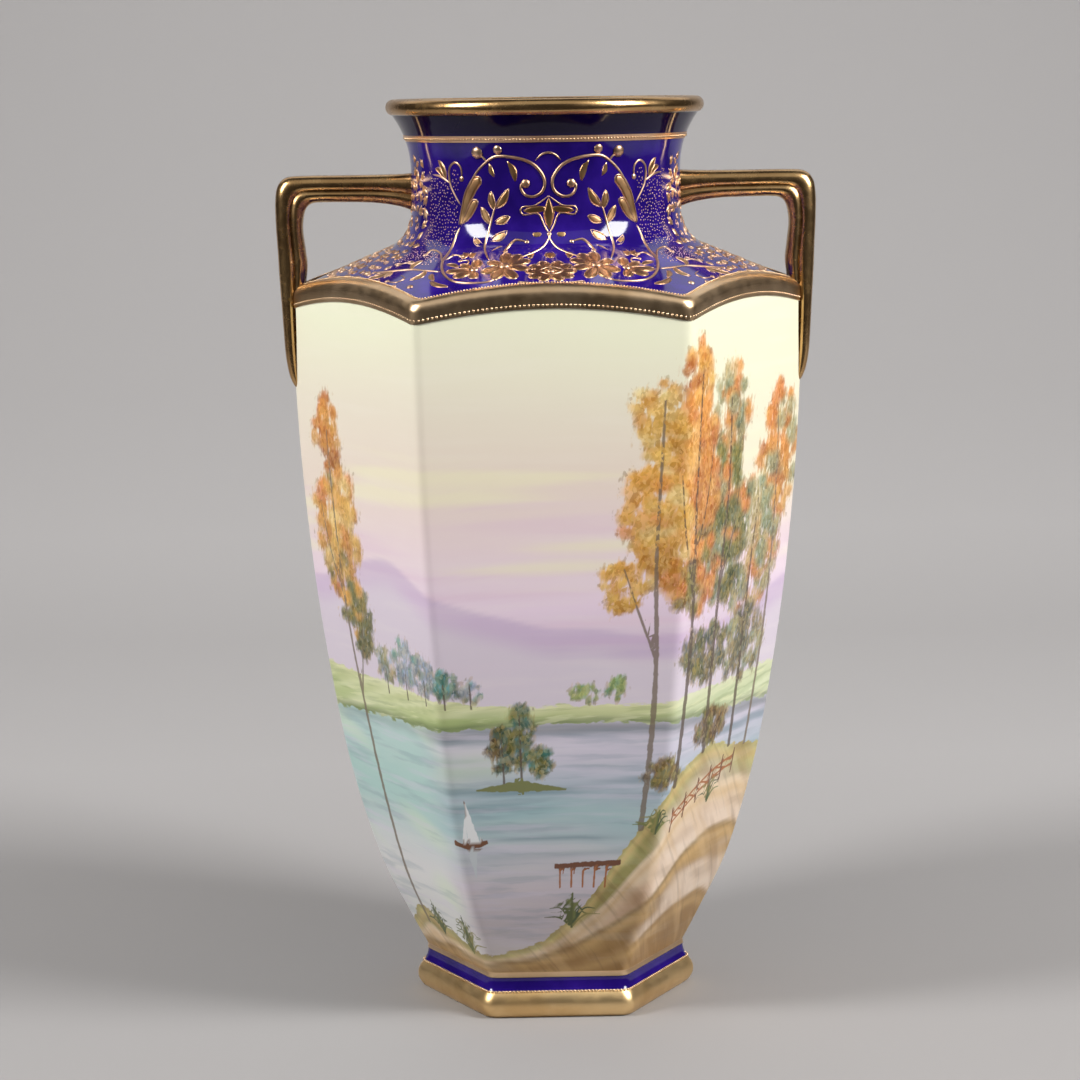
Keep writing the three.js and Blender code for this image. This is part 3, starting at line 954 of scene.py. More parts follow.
# %% Strokes of the motif
# Each stroke: half widths in mm at its start, middle and end, then its points
SCROLLS = [
    ((0.4, 0.75, 0.55), [(-36, 15.5), (-31, 9.6), (-26.2, 6.1), (-21.6, 4.2), (-15.2, 4.4), (-9, 5.6),
                         (-4.9, 7.6), (-2, 10.8), (-1.6, 13.4), (-2.9, 15.7), (-6.3, 17.1),
                         (-9.8, 16.4), (-11.4, 14), (-10.2, 12.0)]),
    ((0.35, 0.6, 0.45), [(-38.8, 20), (-42.5, 16), (-44.5, 12.9), (-44.8, 8.2), (-41.2, 6.1),
                         (-38.3, 8.1), (-38.2, 11.4)]),
    ((0.3, 0.6, 0.45), [(-56, 10.2), (-50.3, 10.8), (-44.5, 12.9)]),
    ((0.45, 0.62, 0.4), [(-20.2, 42.2), (-24.7, 34.4), (-24.9, 28.3), (-22.6, 20.4)]),
    ((0.6, 0.7, 0.4), [(-16.2, 38.0), (-15.9, 34.8), (-13.2, 31.2), (-8.7, 31.9)]),
    ((0.3, 0.45, 0.3), [(-21.8, 37), (-19.6, 34.4), (-17.7, 33.5)]),
    ((0.35, 0.6, 0.4), [(0, 30.2), (-2.1, 33.6), (-5.2, 36.5), (-10.2, 40.7)]),
    ((0.55, 0.8, 0.5), [(-38.8, 27), (-39.7, 31), (-37.9, 38.2), (-36.1, 44.1), (-32.3, 50.5),
                        (-28.4, 55.4), (-24.9, 58.1), (-20.5, 58.8), (-16.7, 58), (-14.9, 55.9)]),
    ((0.35, 0.55, 0.5), [(-35.6, 43), (-34.7, 39.3), (-31.2, 39.9)]),
    ((0.45, 0.65, 0.4), [(-32.6, 51.2), (-38.1, 50.8), (-43.3, 50.4), (-48.1, 51.5), (-57, 54.2)]),
    ((0.6, 0.65, 0.4), [(-47.2, 40), (-47.5, 36.5), (-41.5, 38.2), (-36.7, 43.8)]),
    ((0.4, 0.5, 0.35), [(-25.6, 6.0), (-27.2, 4.6), (-28.6, 3.6)]),
    ((0.35, 0.45, 0.3), [(-20.8, 4.2), (-20.7, 3.2), (-20.6, 2.4)]),
    ((0.3, 0.45, 0.3), [(-28.6, 47.0), (-26.4, 45.2), (-27.2, 42.8), (-29.8, 43.4)]),
    ((0.3, 0.42, 0.3), [(-45.0, 54.4), (-41.8, 56.4), (-42.6, 59.6), (-46.2, 59.2)]),
    ((0.3, 0.42, 0.3), [(-52.0, 49.4), (-50.6, 46.2), (-47.4, 46.0)]),
    ((0.3, 0.4, 0.35), [(0, 16.8), (-2.6, 18.4), (-6.0, 20.0), (-10.6, 20.3), (-11.6, 21.6), (-10.2, 22.9),
                        (-5.2, 22.3), (-3.4, 23.4), (-1.9, 26.4), (0, 29)]),
]
LEAVES = [
    ((0.6, 1.7, 1.9), [(-38.9, 26.5), (-37.2, 21.5), (-34.6, 16.5), (-31.2, 12.6), (-28.6, 12.0)]),
    ((0.35, 1.5, 1.2), [(-38.4, 25.8), (-35.4, 23.4), (-32.6, 19.8), (-30.8, 18.4)]),
    ((0.3, 1.25, 0.3), [(-22.6, 21.4), (-24.0, 18.4), (-24.2, 15.4)]),
    ((0.3, 1.5, 0.3), [(-22.4, 20.6), (-19.2, 18.4), (-16.6, 14.6)]),
    ((0.3, 1.35, 0.3), [(-24.2, 26), (-26.8, 23.2), (-28.6, 20.4)]),
    ((0.3, 1.4, 0.3), [(-22.6, 25.3), (-19, 24.6), (-16.2, 23.2)]),
    ((0.3, 1.5, 0.3), [(-23.6, 31.2), (-20, 30.2), (-17.1, 28)]),
    ((0.3, 1.3, 0.3), [(-25.9, 33.4), (-28.6, 32.4), (-30.8, 30.2)]),
    ((0.5, 1.4, 0.5), [(-32.5, 57.6), (-29.6, 60.4), (-26, 61.2)]),
    ((0.4, 1.3, 0.4), [(-33.6, 46.0), (-30.6, 46.4), (-28.4, 48.0)]),
    ((0.4, 1.2, 0.4), [(-38.0, 50.4), (-37.4, 54.4), (-39.2, 57.6)]),
    ((0.4, 1.2, 0.4), [(-44.0, 50.2), (-45.8, 47.0), (-44.6, 43.8)]),
    ((0.4, 1.2, 0.4), [(-50.6, 52.4), (-52.2, 56.2), (-55.4, 57.8)]),
    ((0.35, 1.1, 0.3), [(-47.0, 11.6), (-48.6, 8.2), (-51.2, 5.6)]),
    ((0.35, 1.2, 0.35), [(-31.8, 36.2), (-30.2, 38.8), (-30.0, 41.8)]),
    ((0.35, 1.2, 0.35), [(-27.4, 36.4), (-27.8, 38.8), (-26.6, 41.0)]),
    ((0.35, 1.1, 0.35), [(-5.6, 36.2), (-6.8, 38.8), (-6.2, 41.2)]),
    ((0.35, 1.1, 0.35), [(-34.4, 52.6), (-33.6, 55.2), (-31.6, 57.4)]),
    ((0.35, 1.2, 0.35), [(-8.6, 57.6), (-5.4, 59.2), (-1.8, 59.6)]),
    ((0.3, 0.9, 0.3), [(-48.4, 11.2), (-51.0, 8.8), (-53.8, 8.4)]),
]
# Flat leaves without an outline, which hang inside the scroll and beside the palmette
FLAT_LEAVES = [
    ((0.3, 1.25, 0.7), [(-17.0, 5.6), (-14.6, 8.4), (-13.6, 12.2)]),
    ((0.3, 1.0, 0.4), [(-24.6, 6.4), (-24.0, 8.8), (-22.6, 10.8)]),
    ((0.8, 1.2, 0.5), [(-6.6, 28.6), (-5.0, 29.4), (-2.8, 28.6)]),
    ((0.8, 1.3, 0.8), [(-1, 20.8), (-5.0, 21.2), (-10.4, 21.6)]),
]
# Each flower: its centre, the tips of its petals, and half the width of a petal
FLOWERS = [
    ((-14, 46.5), [(-15, 37.4), (-10.2, 38.4), (-6.6, 42.2), (-6.4, 48.5), (-9.6, 55.6), (-15.2, 55.8),
                   (-19.6, 51.6), (-20.0, 43.5)], 2.2),
    ((-22.6, 49.2), [(-30.6, 51.4), (-28.4, 45.6), (-23.6, 42.4), (-21, 55.6), (-26.6, 55.2)], 1.9),
]
BALLS = [(-29.8, 3.0, 2.1), (-20.6, 2.0, 1.6), (-9.4, 12.9, 1.55), (-38.2, 11.4, 1.0),
         (-31.2, 39.9, 1.0), (-16.0, 36.4, 0.9), (-14.9, 55.9, 1.0), (-47.2, 40, 1.05),
         (-36.5, 62.2, 1.2), (-14, 46.5, 1.9), (-22.6, 49.2, 1.5), (-8.7, 31.9, 0.8),
         (-29.8, 43.4, 0.8), (-46.2, 59.2, 0.9), (-57, 54.2, 0.9), (-47.4, 46.0, 0.8), (-41.6, 62.4, 1.0)]

# %% [markdown]
# The middle of the motif is a bell-shaped palmette over a rosette. The strokes that lie on the axis are
# listed whole.

# %% Middle of the motif
MIDDLE_SCROLLS = [
    ((0.3, 0.5, 0.3), [(-5.2, 5.6), (-2.8, 3.7), (0, 3.0), (2.8, 3.7), (5.2, 5.6)]),
    ((0.4, 0.5, 0.4), [(0, 28.4), (0, 29.6), (0, 31.5)]),
    ((0.4, 0.45, 0.4), [(-3.6, 49.8), (0, 47.4), (3.6, 49.8), (0, 52.6), (-3.4, 50.2)]),
]
MIDDLE_LEAVES = [((0.8, 1.8, 0.8), [(0, 41.2), (0, 39.0), (0, 36.4)])]
MIDDLE_FLAT_LEAVES = [((0.3, 2.0, 0.6), [(0, 17.4), (0, 21.4), (0, 27.6)])]
MIDDLE_FLOWERS = [
    ((0, 50.4), [(3.0, 43.4), (6.2, 46.2), (7.2, 50.6), (5.8, 54.8), (2.6, 57.2), (-2.6, 57.2),
                 (-5.8, 54.8), (-7.2, 50.6), (-6.2, 46.2), (-3.0, 43.4)], 2.1),
]
MIDDLE_BALLS = [(0, 50.2, 1.4), (0, 29.2, 0.8)]

# %% [markdown]
# Beside the handles the gold gets denser, in a garland of small scrolls and sprigs of three leaves. It is
# set out by a rule with a few turns of chance, and thins out on the shoulder towards the motif.

# %% Garland beside the handles
garland_random = np.random.default_rng(5)
GARLAND_SPACING = 4.1
GARLAND_TOP, GARLAND_END = 6, 61
CURL_SHARE = 0.28
THIN_FROM, THIN_SHARE = -59, 0.62
GARLAND_SCROLLS, GARLAND_LEAVES, GARLAND_BALLS = [], [], []


def degrees_across(distance, down):
    """Degrees round the chart for a distance in mm."""
    return np.degrees(distance * MM / np.interp(down * MM, way_down, down_neck[:, 0]))


def near_place(place, distance, turn):
    angle, down = place
    return angle + degrees_across(distance * np.cos(turn), down), down + distance * np.sin(turn)


for down in np.arange(GARLAND_TOP, GARLAND_END, GARLAND_SPACING):
    step = degrees_across(GARLAND_SPACING, down)
    for angle in np.arange(-88 if down > 14 else -74, -58 if down < 46 else -47, step):
        shift = garland_random.uniform(-0.25, 0.25)
        kind = garland_random.uniform()
        turn = garland_random.uniform(0, 2 * np.pi)
        place = (angle + shift * step, down - shift * GARLAND_SPACING)
        if angle > THIN_FROM and kind > THIN_SHARE:
            continue
        if kind < CURL_SHARE:
            curl = [near_place(place, 1.9 - 0.22 * number, turn + 0.8 * number) for number in range(7)]
            GARLAND_SCROLLS.append(((0.25, 0.42, 0.35), curl))
            GARLAND_BALLS.append((*near_place(place, 0.4, turn), 0.6))
        else:
            size = garland_random.uniform(0.8, 1.25)
            for lean, long in ((-0.85, 1.9), (0.0, 2.5), (0.85, 1.9)):
                leaf = ((1.7, np.pi), (0.5, 1.6 * lean), (long, lean))
                points = [near_place(place, out * size, turn + way) for out, way in leaf]
                GARLAND_LEAVES.append(((0.25, 0.8 * size, 0.3), points))

# %% Gathering the strokes
OUTLINE_WIDTHS = (0.24, 0.27, 0.24)
PETAL_SHARES = (0.15, 0.65, 1.0)


def mirrored(points):
    return [(-angle, down) for angle, down in points]


def petals(flower):
    """Each petal is a leaf from near the centre to its tip, broadest towards the tip."""
    (angle, down), tips, half_width = flower
    widths = (half_width * 0.5, half_width, half_width * 0.6)
    return [(widths, [(angle + (tip_angle - angle) * share, down + (tip_down - down) * share)
                      for share in PETAL_SHARES]) for tip_angle, tip_down in tips]


def outline_of(leaf):
    """The thin raised line round a leaf, from its stalk round its tip and back."""
    widths, points = leaf
    line = catmull(charted(points), 5)
    run = np.gradient(line, axis=0)
    sideways = np.stack([-run[:, 1], run[:, 0]], axis=1) / np.hypot(*run.T)[:, None]
    share = np.linspace(0, 1, len(line))
    half = np.interp(share, [0, 0.5, 1], widths) * MM * np.sqrt(np.clip(1.15 - share**6, 0, 1))
    left, right = line + sideways * half[:, None], line - sideways * half[:, None]
    tip = line[-1:] + (line[-1] - line[-2]) / np.linalg.norm(line[-1] - line[-2]) * half[-1] * 0.7
    loop = np.concatenate([left, tip, right[::-1]])[::2]
    radius = np.interp(loop[:, 1], way_down, down_neck[:, 0])
    degrees_and_mm = np.stack([np.degrees(loop[:, 0] / radius), loop[:, 1] / MM], axis=1)
    return OUTLINE_WIDTHS, [tuple(place) for place in degrees_and_mm]


def both_sides(strokes):
    return strokes + [(widths, mirrored(points)) for widths, points in strokes]


outlined = both_sides(LEAVES + [petal for flower in FLOWERS for petal in petals(flower)])
outlined += MIDDLE_LEAVES + [petal for flower in MIDDLE_FLOWERS for petal in petals(flower)]
all_fills = outlined + both_sides(FLAT_LEAVES) + MIDDLE_FLAT_LEAVES
all_scrolls = both_sides(SCROLLS + GARLAND_SCROLLS) + MIDDLE_SCROLLS
all_outlines = [outline_of(leaf) for leaf in outlined]
all_garland = both_sides(GARLAND_LEAVES)
left_balls = BALLS + GARLAND_BALLS
right_balls = [(-angle, down, radius) for angle, down, radius in left_balls]
all_balls = left_balls + right_balls + MIDDLE_BALLS
print("scrolls", len(all_scrolls), "leaves", len(all_fills) + len(all_garland), "balls", len(all_balls))

# %% Drawing the strokes as a mesh
# A raised stroke is a little thinner than listed, fuller in the middle, and rounded at its tips
SLENDER = 0.76
BELLY = 0.35
TIP_POINTS = 1.6
TIP_LEAST = 0.06


def drawn(name, strokes, flatten, roundness=1, spacing=0.9 * MM):
    """One mesh of tapered strokes that lie flat on the chart, pressed to a share of their height."""
    curve = bpy.data.curves.new(name, "CURVE")
    curve.dimensions = "3D"
    curve.bevel_depth = 1.0
    curve.bevel_resolution = roundness
    curve.use_fill_caps = True
    for (start, middle, end), points in strokes:
        line = catmull(charted(points), 10)
        way = np.concatenate([[0], np.cumsum(np.hypot(*np.diff(line, axis=0).T))])
        count = max(6, int(way[-1] / spacing))
        at = np.linspace(0, way[-1], count)
        share = at / way[-1]
        swell = np.interp(share, [0, 0.5, 1], [start, middle, end])
        if flatten > 0.5:
            swell = SLENDER * (swell + (middle - swell) * BELLY * np.sin(np.pi * share))
        from_tip = np.minimum(share, 1 - share) * count / TIP_POINTS
        swell = swell * np.sqrt(np.clip(from_tip, TIP_LEAST, 1))
        spline = curve.splines.new("POLY")
        spline.points.add(count - 1)
        xs, ys = (np.interp(at, way, line[:, i]) for i in (0, 1))
        spline.points.foreach_set("co", np.stack([xs, ys, 0 * xs, 1 + 0 * xs], axis=1).ravel())
        spline.points.foreach_set("radius", swell * MM)
    piece = bpy.data.objects.new(name, curve)
    bpy.context.scene.collection.objects.link(piece)
    only(piece)
    bpy.ops.object.convert(target="MESH")
    piece = bpy.context.object
    flat = vertices_of(piece)
    flat[:, 2] *= flatten
    put_vertices(piece, flat)
    return piece


def joined(pieces, name):
    deselect_all()
    for piece in pieces:
        piece.select_set(True)
    bpy.context.view_layer.objects.active = pieces[0]
    if len(pieces) > 1:
        bpy.ops.object.join()
    piece = bpy.context.object
    piece.name = piece.data.name = name
    return piece


# %% [markdown]
# A small bead is a sphere with few faces. It is made once and its copies are set out in one mesh.

# %% Beads
def sphere(segments, rings):
    deselect_all()
    bpy.ops.mesh.primitive_uv_sphere_add(segments=segments, ring_count=rings, radius=1)
    made = bpy.context.object
    points, faces = vertices_of(made), [tuple(p.vertices) for p in made.data.polygons]
    bpy.data.objects.remove(made)
    return points, faces


BEAD = sphere(8, 5)
DOT = sphere(6, 3)


def beads(name, places, radii, up=None, flatten=1.0, shape=BEAD):
    """One mesh of beads at the given places, each pressed flatter along its up direction."""
    shape_points, shape_faces = shape
    places = np.asarray(places)
    radii = np.broadcast_to(radii, len(places))
    up = np.tile([0.0, 0.0, 1.0], (len(places), 1)) if up is None else np.asarray(up)
    side = np.cross(up, [0.3, 0.2, 0.93])
    side /= np.linalg.norm(side, axis=1)[:, None]
    third = np.cross(up, side)
    x, y, z = (shape_points[None, :, axis, None] for axis in range(3))
    offsets = x * side[:, None] + y * third[:, None] + flatten * z * up[:, None]
    points = places[:, None] + offsets * radii[:, None, None]
    count = len(shape_points)
    faces = [tuple(v + i * count for v in face) for i in range(len(places)) for face in shape_faces]
    mesh = bpy.data.meshes.new(name)
    mesh.from_pydata(points.reshape(-1, 3), [], faces)
    piece = bpy.data.objects.new(name, mesh)
    bpy.context.scene.collection.objects.link(piece)
    smoothed(piece)
    return piece


# %% [markdown]
# Between the scrolls and the garland lies a net of tiny dots of gold.

# %% The raised gold
# Each height is a share of the half width
LINE_HEIGHT, FILL_HEIGHT, GARLAND_HEIGHT, BALL_HEIGHT = 0.75, 0.08, 0.5, 0.4
FRONT, BACK = np.radians(270), np.radians(90)
DOT_SPACING = 1.2
DOT_GAP = 0.9 * MM
DOT_RADIUS = 0.24
DOT_HEIGHT = 0.6


def net_dots():
    """Small dots between the motif and the garland, a little off their rows and clear of every stroke."""
    dot_random = np.random.default_rng(8)
    dots = []
    for row, down in enumerate(np.arange(9, 47, DOT_SPACING)):
        step = degrees_across(DOT_SPACING, down)
        for angle in np.arange(-58, -40, step) + (row % 2) * step / 2:
            off_angle, off_down = step * dot_random.uniform(-0.35, 0.35), dot_random.uniform(-0.45, 0.45)
            dots.append((angle + off_angle, down + off_down, DOT_RADIUS))
    strokes = all_scrolls + all_garland + all_outlines
    lines = np.concatenate([catmull(charted(points), 6) for _, points in strokes])
    places = charted([(angle, down) for angle, down, _ in dots])
    clear = [np.hypot(*(lines - place).T).min() > DOT_GAP for place in places]
    dots = [dot for dot, free in zip(dots, clear) if free]
    return dots + [(-angle, down, radius) for angle, down, radius in dots]


def set_balls(balls, centre, flatten, shape=BEAD):
    """Beads on the shoulder, which stand square on its surface."""
    flat = charted([(angle, down) for angle, down, _ in balls])
    flat = np.concatenate([flat, np.zeros((len(flat), 1))], axis=1)
    below, above = onto_shoulder(flat, centre), onto_shoulder(flat + (0, 0, 1 * MM), centre)
    radii = [radius * MM for _, _, radius in balls]
    return beads("balls", below, radii, (above - below) / MM, flatten, shape)


def set_strokes(kind, strokes, flatten, roundness, centre):
    piece = drawn(kind, strokes, flatten, roundness)
    put_vertices(piece, onto_shoulder(vertices_of(piece), centre))
    weld(piece)
    return piece


line_pieces, fill_pieces = [], []
dots = net_dots()
for centre in (FRONT, BACK):
    line_pieces += [
        set_strokes("scrolls", all_scrolls, LINE_HEIGHT, 1, centre),
        set_strokes("outlines", all_outlines, LINE_HEIGHT, 0, centre),
        set_strokes("garland", all_garland, GARLAND_HEIGHT, 1, centre),
        set_balls(all_balls, centre, BALL_HEIGHT),
        set_balls(dots, centre, DOT_HEIGHT, DOT),
    ]
    fill_pieces.append(set_strokes("fills", all_fills, FILL_HEIGHT, 1, centre))
relief_lines = joined(line_pieces, "raised_gold")
relief_fills = joined(fill_pieces, "gold_leaves")
for piece in (relief_lines, relief_fills):
    smoothed(piece)
    print_triangles(piece)

# %% [markdown]
# Rows of fine beads edge the gilded bands. A row follows a line round the vase at an even spacing.

# %% Bead rows
def even_line(line, spacing):
    """Places at an even spacing on a closed line of points."""
    line = np.concatenate([line, line[:1]])
    way = np.concatenate([[0], np.cumsum(np.linalg.norm(np.diff(line, axis=0), axis=1))])
    count = int(round(way[-1] / spacing))
    at = np.arange(count) * way[-1] / count
    return np.stack([np.interp(at, way, line[:, i]) for i in range(3)], axis=1)


ROUND_STEPS = 1440
NECK_BEADS_HEIGHT = 292.1 * MM
round_angles = np.linspace(0, 2 * np.pi, ROUND_STEPS, endpoint=False)


def line_at(r, z):
    return np.stack([r * np.cos(round_angles), r * np.sin(round_angles), z + 0 * round_angles], axis=1)


edge_round = edge_height(round_angles)
under_edge = edge_round - BAND_BELOW_EDGE + 1.3 * MM
top_rows = moulding_rows(round_angles)[-1]
neck_r = np.interp(NECK_BEADS_HEIGHT, neck_curve[:, 1], neck_curve[:, 0])
foot_scale = hexagon(FOOT_ROLL_CORNER, round_angles) / FOOT_ROLL_CORNER
foot_line = line_at((FOOT_ROLL_TOP[0] + 0.05 * MM) * foot_scale, FOOT_ROLL_TOP[1] + 0.2 * MM)
# Each row: its line, the spacing of its beads and their radius
ROWS = [
    (line_at(body_radius(under_edge, round_angles) + 0.08 * MM, under_edge), 1.45 * MM, 0.5 * MM),
    (line_at(top_rows[:, 0] - 0.1 * MM, top_rows[:, 1] + 0.1 * MM), 0.95 * MM, 0.33 * MM),
    (line_at(neck_r + BAND_PROUD, NECK_BEADS_HEIGHT), 1.15 * MM, 0.36 * MM),
    (foot_line, 1.2 * MM, 0.45 * MM),
]
row_pieces = [beads("row", even_line(line, spacing), radius) for line, spacing, radius in ROWS]
bead_rows = joined(row_pieces, "bead_rows")
print_triangles(bead_rows)

# %% [markdown]
# ## Finishes
# Each finish is a small set of nodes. The bench below is a short hand: each call adds one node and gives
# back its output, so that a finish reads like a recipe.

# %% The finishing bench
class Bench:
    def __init__(self, name):
        self.material = bpy.data.materials.new(name)
        self.material.use_nodes = True
        self.tree = self.material.node_tree
        self.shader = self.tree.nodes["Principled BSDF"]

    def feed(self, socket, value):
        if isinstance(value, bpy.types.NodeSocket):
            self.tree.links.new(value, socket)
        elif socket.type == "RGBA" and len(value) == 3:
            socket.default_value = (*value, 1)
        else:
            socket.default_value = value

    def add(self, kind, inputs, out=0, **settings):
        node = self.tree.nodes.new(kind)
        for name, value in settings.items():
            setattr(node, name, value)
        for socket, value in inputs.items():
            self.feed(node.inputs[socket], value)
        return node.outputs[out]

    def math(self, operation, first, second=0.0, third=0.0):
        return self.add("ShaderNodeMath", {0: first, 1: second, 2: third}, operation=operation)

    def place(self, scale=(1, 1, 1)):
        if not hasattr(self, "where"):
            self.where = self.add("ShaderNodeTexCoord", {}, "Object")
        return self.add("ShaderNodeMapping", {"Vector": self.where, "Scale": scale})

    def noise(self, scale, detail=2.0, stretch=(1, 1, 1), out="Fac", warp=0.0):
        inputs = {"Vector": self.place(stretch), "Scale": scale, "Detail": detail, "Distortion": warp}
        return self.add("ShaderNodeTexNoise", inputs, out)

    def between(self, value, low, high, to_low=0.0, to_high=1.0):
        inputs = {"Value": value, "From Min": low, "From Max": high, "To Min": to_low, "To Max": to_high}
        return self.add("ShaderNodeMapRange", inputs, interpolation_type="SMOOTHSTEP")

    def mix(self, amount, first, second, blend="MIX"):
        node = self.tree.nodes.new("ShaderNodeMix")
        node.data_type = "RGBA"
        node.blend_type = blend
        self.feed(node.inputs[0], amount)
        self.feed(node.inputs[6], first)
        self.feed(node.inputs[7], second)
        return node.outputs[2]

    def ramp(self, value, stops):
        node = self.tree.nodes.new("ShaderNodeValToRGB")
        self.feed(node.inputs[0], value)
        points = node.color_ramp.elements
        while len(points) < len(stops):
            points.new(0.5)
        for point, (place, colour) in zip(points, stops):
            point.position = place
            point.color = (*linear(*colour), 1)
        return node.outputs[0]

    def attribute(self, name, out="Color"):
        return self.add("ShaderNodeAttribute", {}, out, attribute_name=name)

    def finish(self, **inputs):
        for name, value in inputs.items():
            self.feed(self.shader.inputs[name.replace("_", " ")], value)
        return self.material

    def bump(self, height, strength, distance):
        return self.add("ShaderNodeBump", {"Height": height, "Strength": strength, "Distance": distance})


# %% [markdown]
# Cobalt glaze is deep and glossy, with a faint unevenness where the colour gathered.

# %% Cobalt, gold, lining and bare ring
# The heights, in metres, between which the cobalt is painted darker, as painted shade under the lip
LIP_SHADE_HEIGHTS = (0.2895, 0.2945)


def cobalt_glaze():
    bench = Bench("cobalt_glaze")
    cloud = bench.noise(90, 4)
    colour = bench.ramp(cloud, [(0.3, (26, 8, 92)), (0.5, (34, 13, 108)), (0.72, (46, 22, 128))])
    # The flare under the lip is painted darker, as painted shade, and made less shiny
    height = bench.add("ShaderNodeSeparateXYZ", {"Vector": bench.place()}, 2)
    colour = bench.mix(bench.between(height, *LIP_SHADE_HEIGHTS), colour, linear(14, 4, 44))
    shine = bench.between(height, *LIP_SHADE_HEIGHTS, 0.5, 0.26)
    wave = bench.noise(60, 2)
    return bench.finish(Base_Color=colour, Roughness=0.08, Specular_IOR_Level=shine,
                        Normal=bench.bump(wave, 0.06, 0.001))


def gold(name, dark, light, polish):
    bench = Bench(name)
    cloud = bench.noise(60, 4)
    colour = bench.mix(bench.between(cloud, 0.35, 0.65), dark, light)
    rough = bench.between(bench.noise(260, 3), 0.35, 0.65, polish, polish + 0.06)
    brush = bench.noise(500, 2)
    return bench.finish(Base_Color=colour, Metallic=1.0, Roughness=rough,
                        Normal=bench.bump(brush, 0.05, 0.0002))


def lining_glaze():
    bench = Bench("white_glaze")
    cloud = bench.noise(40, 3)
    colour = bench.ramp(cloud, [(0.3, (226, 224, 214)), (0.7, (240, 238, 230))])
    return bench.finish(Base_Color=colour, Roughness=0.12, Specular_IOR_Level=0.5)


def bare_porcelain():
    bench = Bench("bare_porcelain")
    grain = bench.noise(1500, 3)
    colour = bench.ramp(grain, [(0.3, (204, 192, 172)), (0.7, (226, 218, 204))])
    return bench.finish(Base_Color=colour, Roughness=0.75, Normal=bench.bump(grain, 0.2, 0.0002))


# %% [markdown]
# The painting takes its broad colours from the wall's attributes. Brush strokes are noise that is drawn
# out in the direction of the stroke, on the unrolled wall. Leaves are cells, and each cell is a dab
# with a tone of its own. Trunks, rails and blades of grass are single tapered strokes.

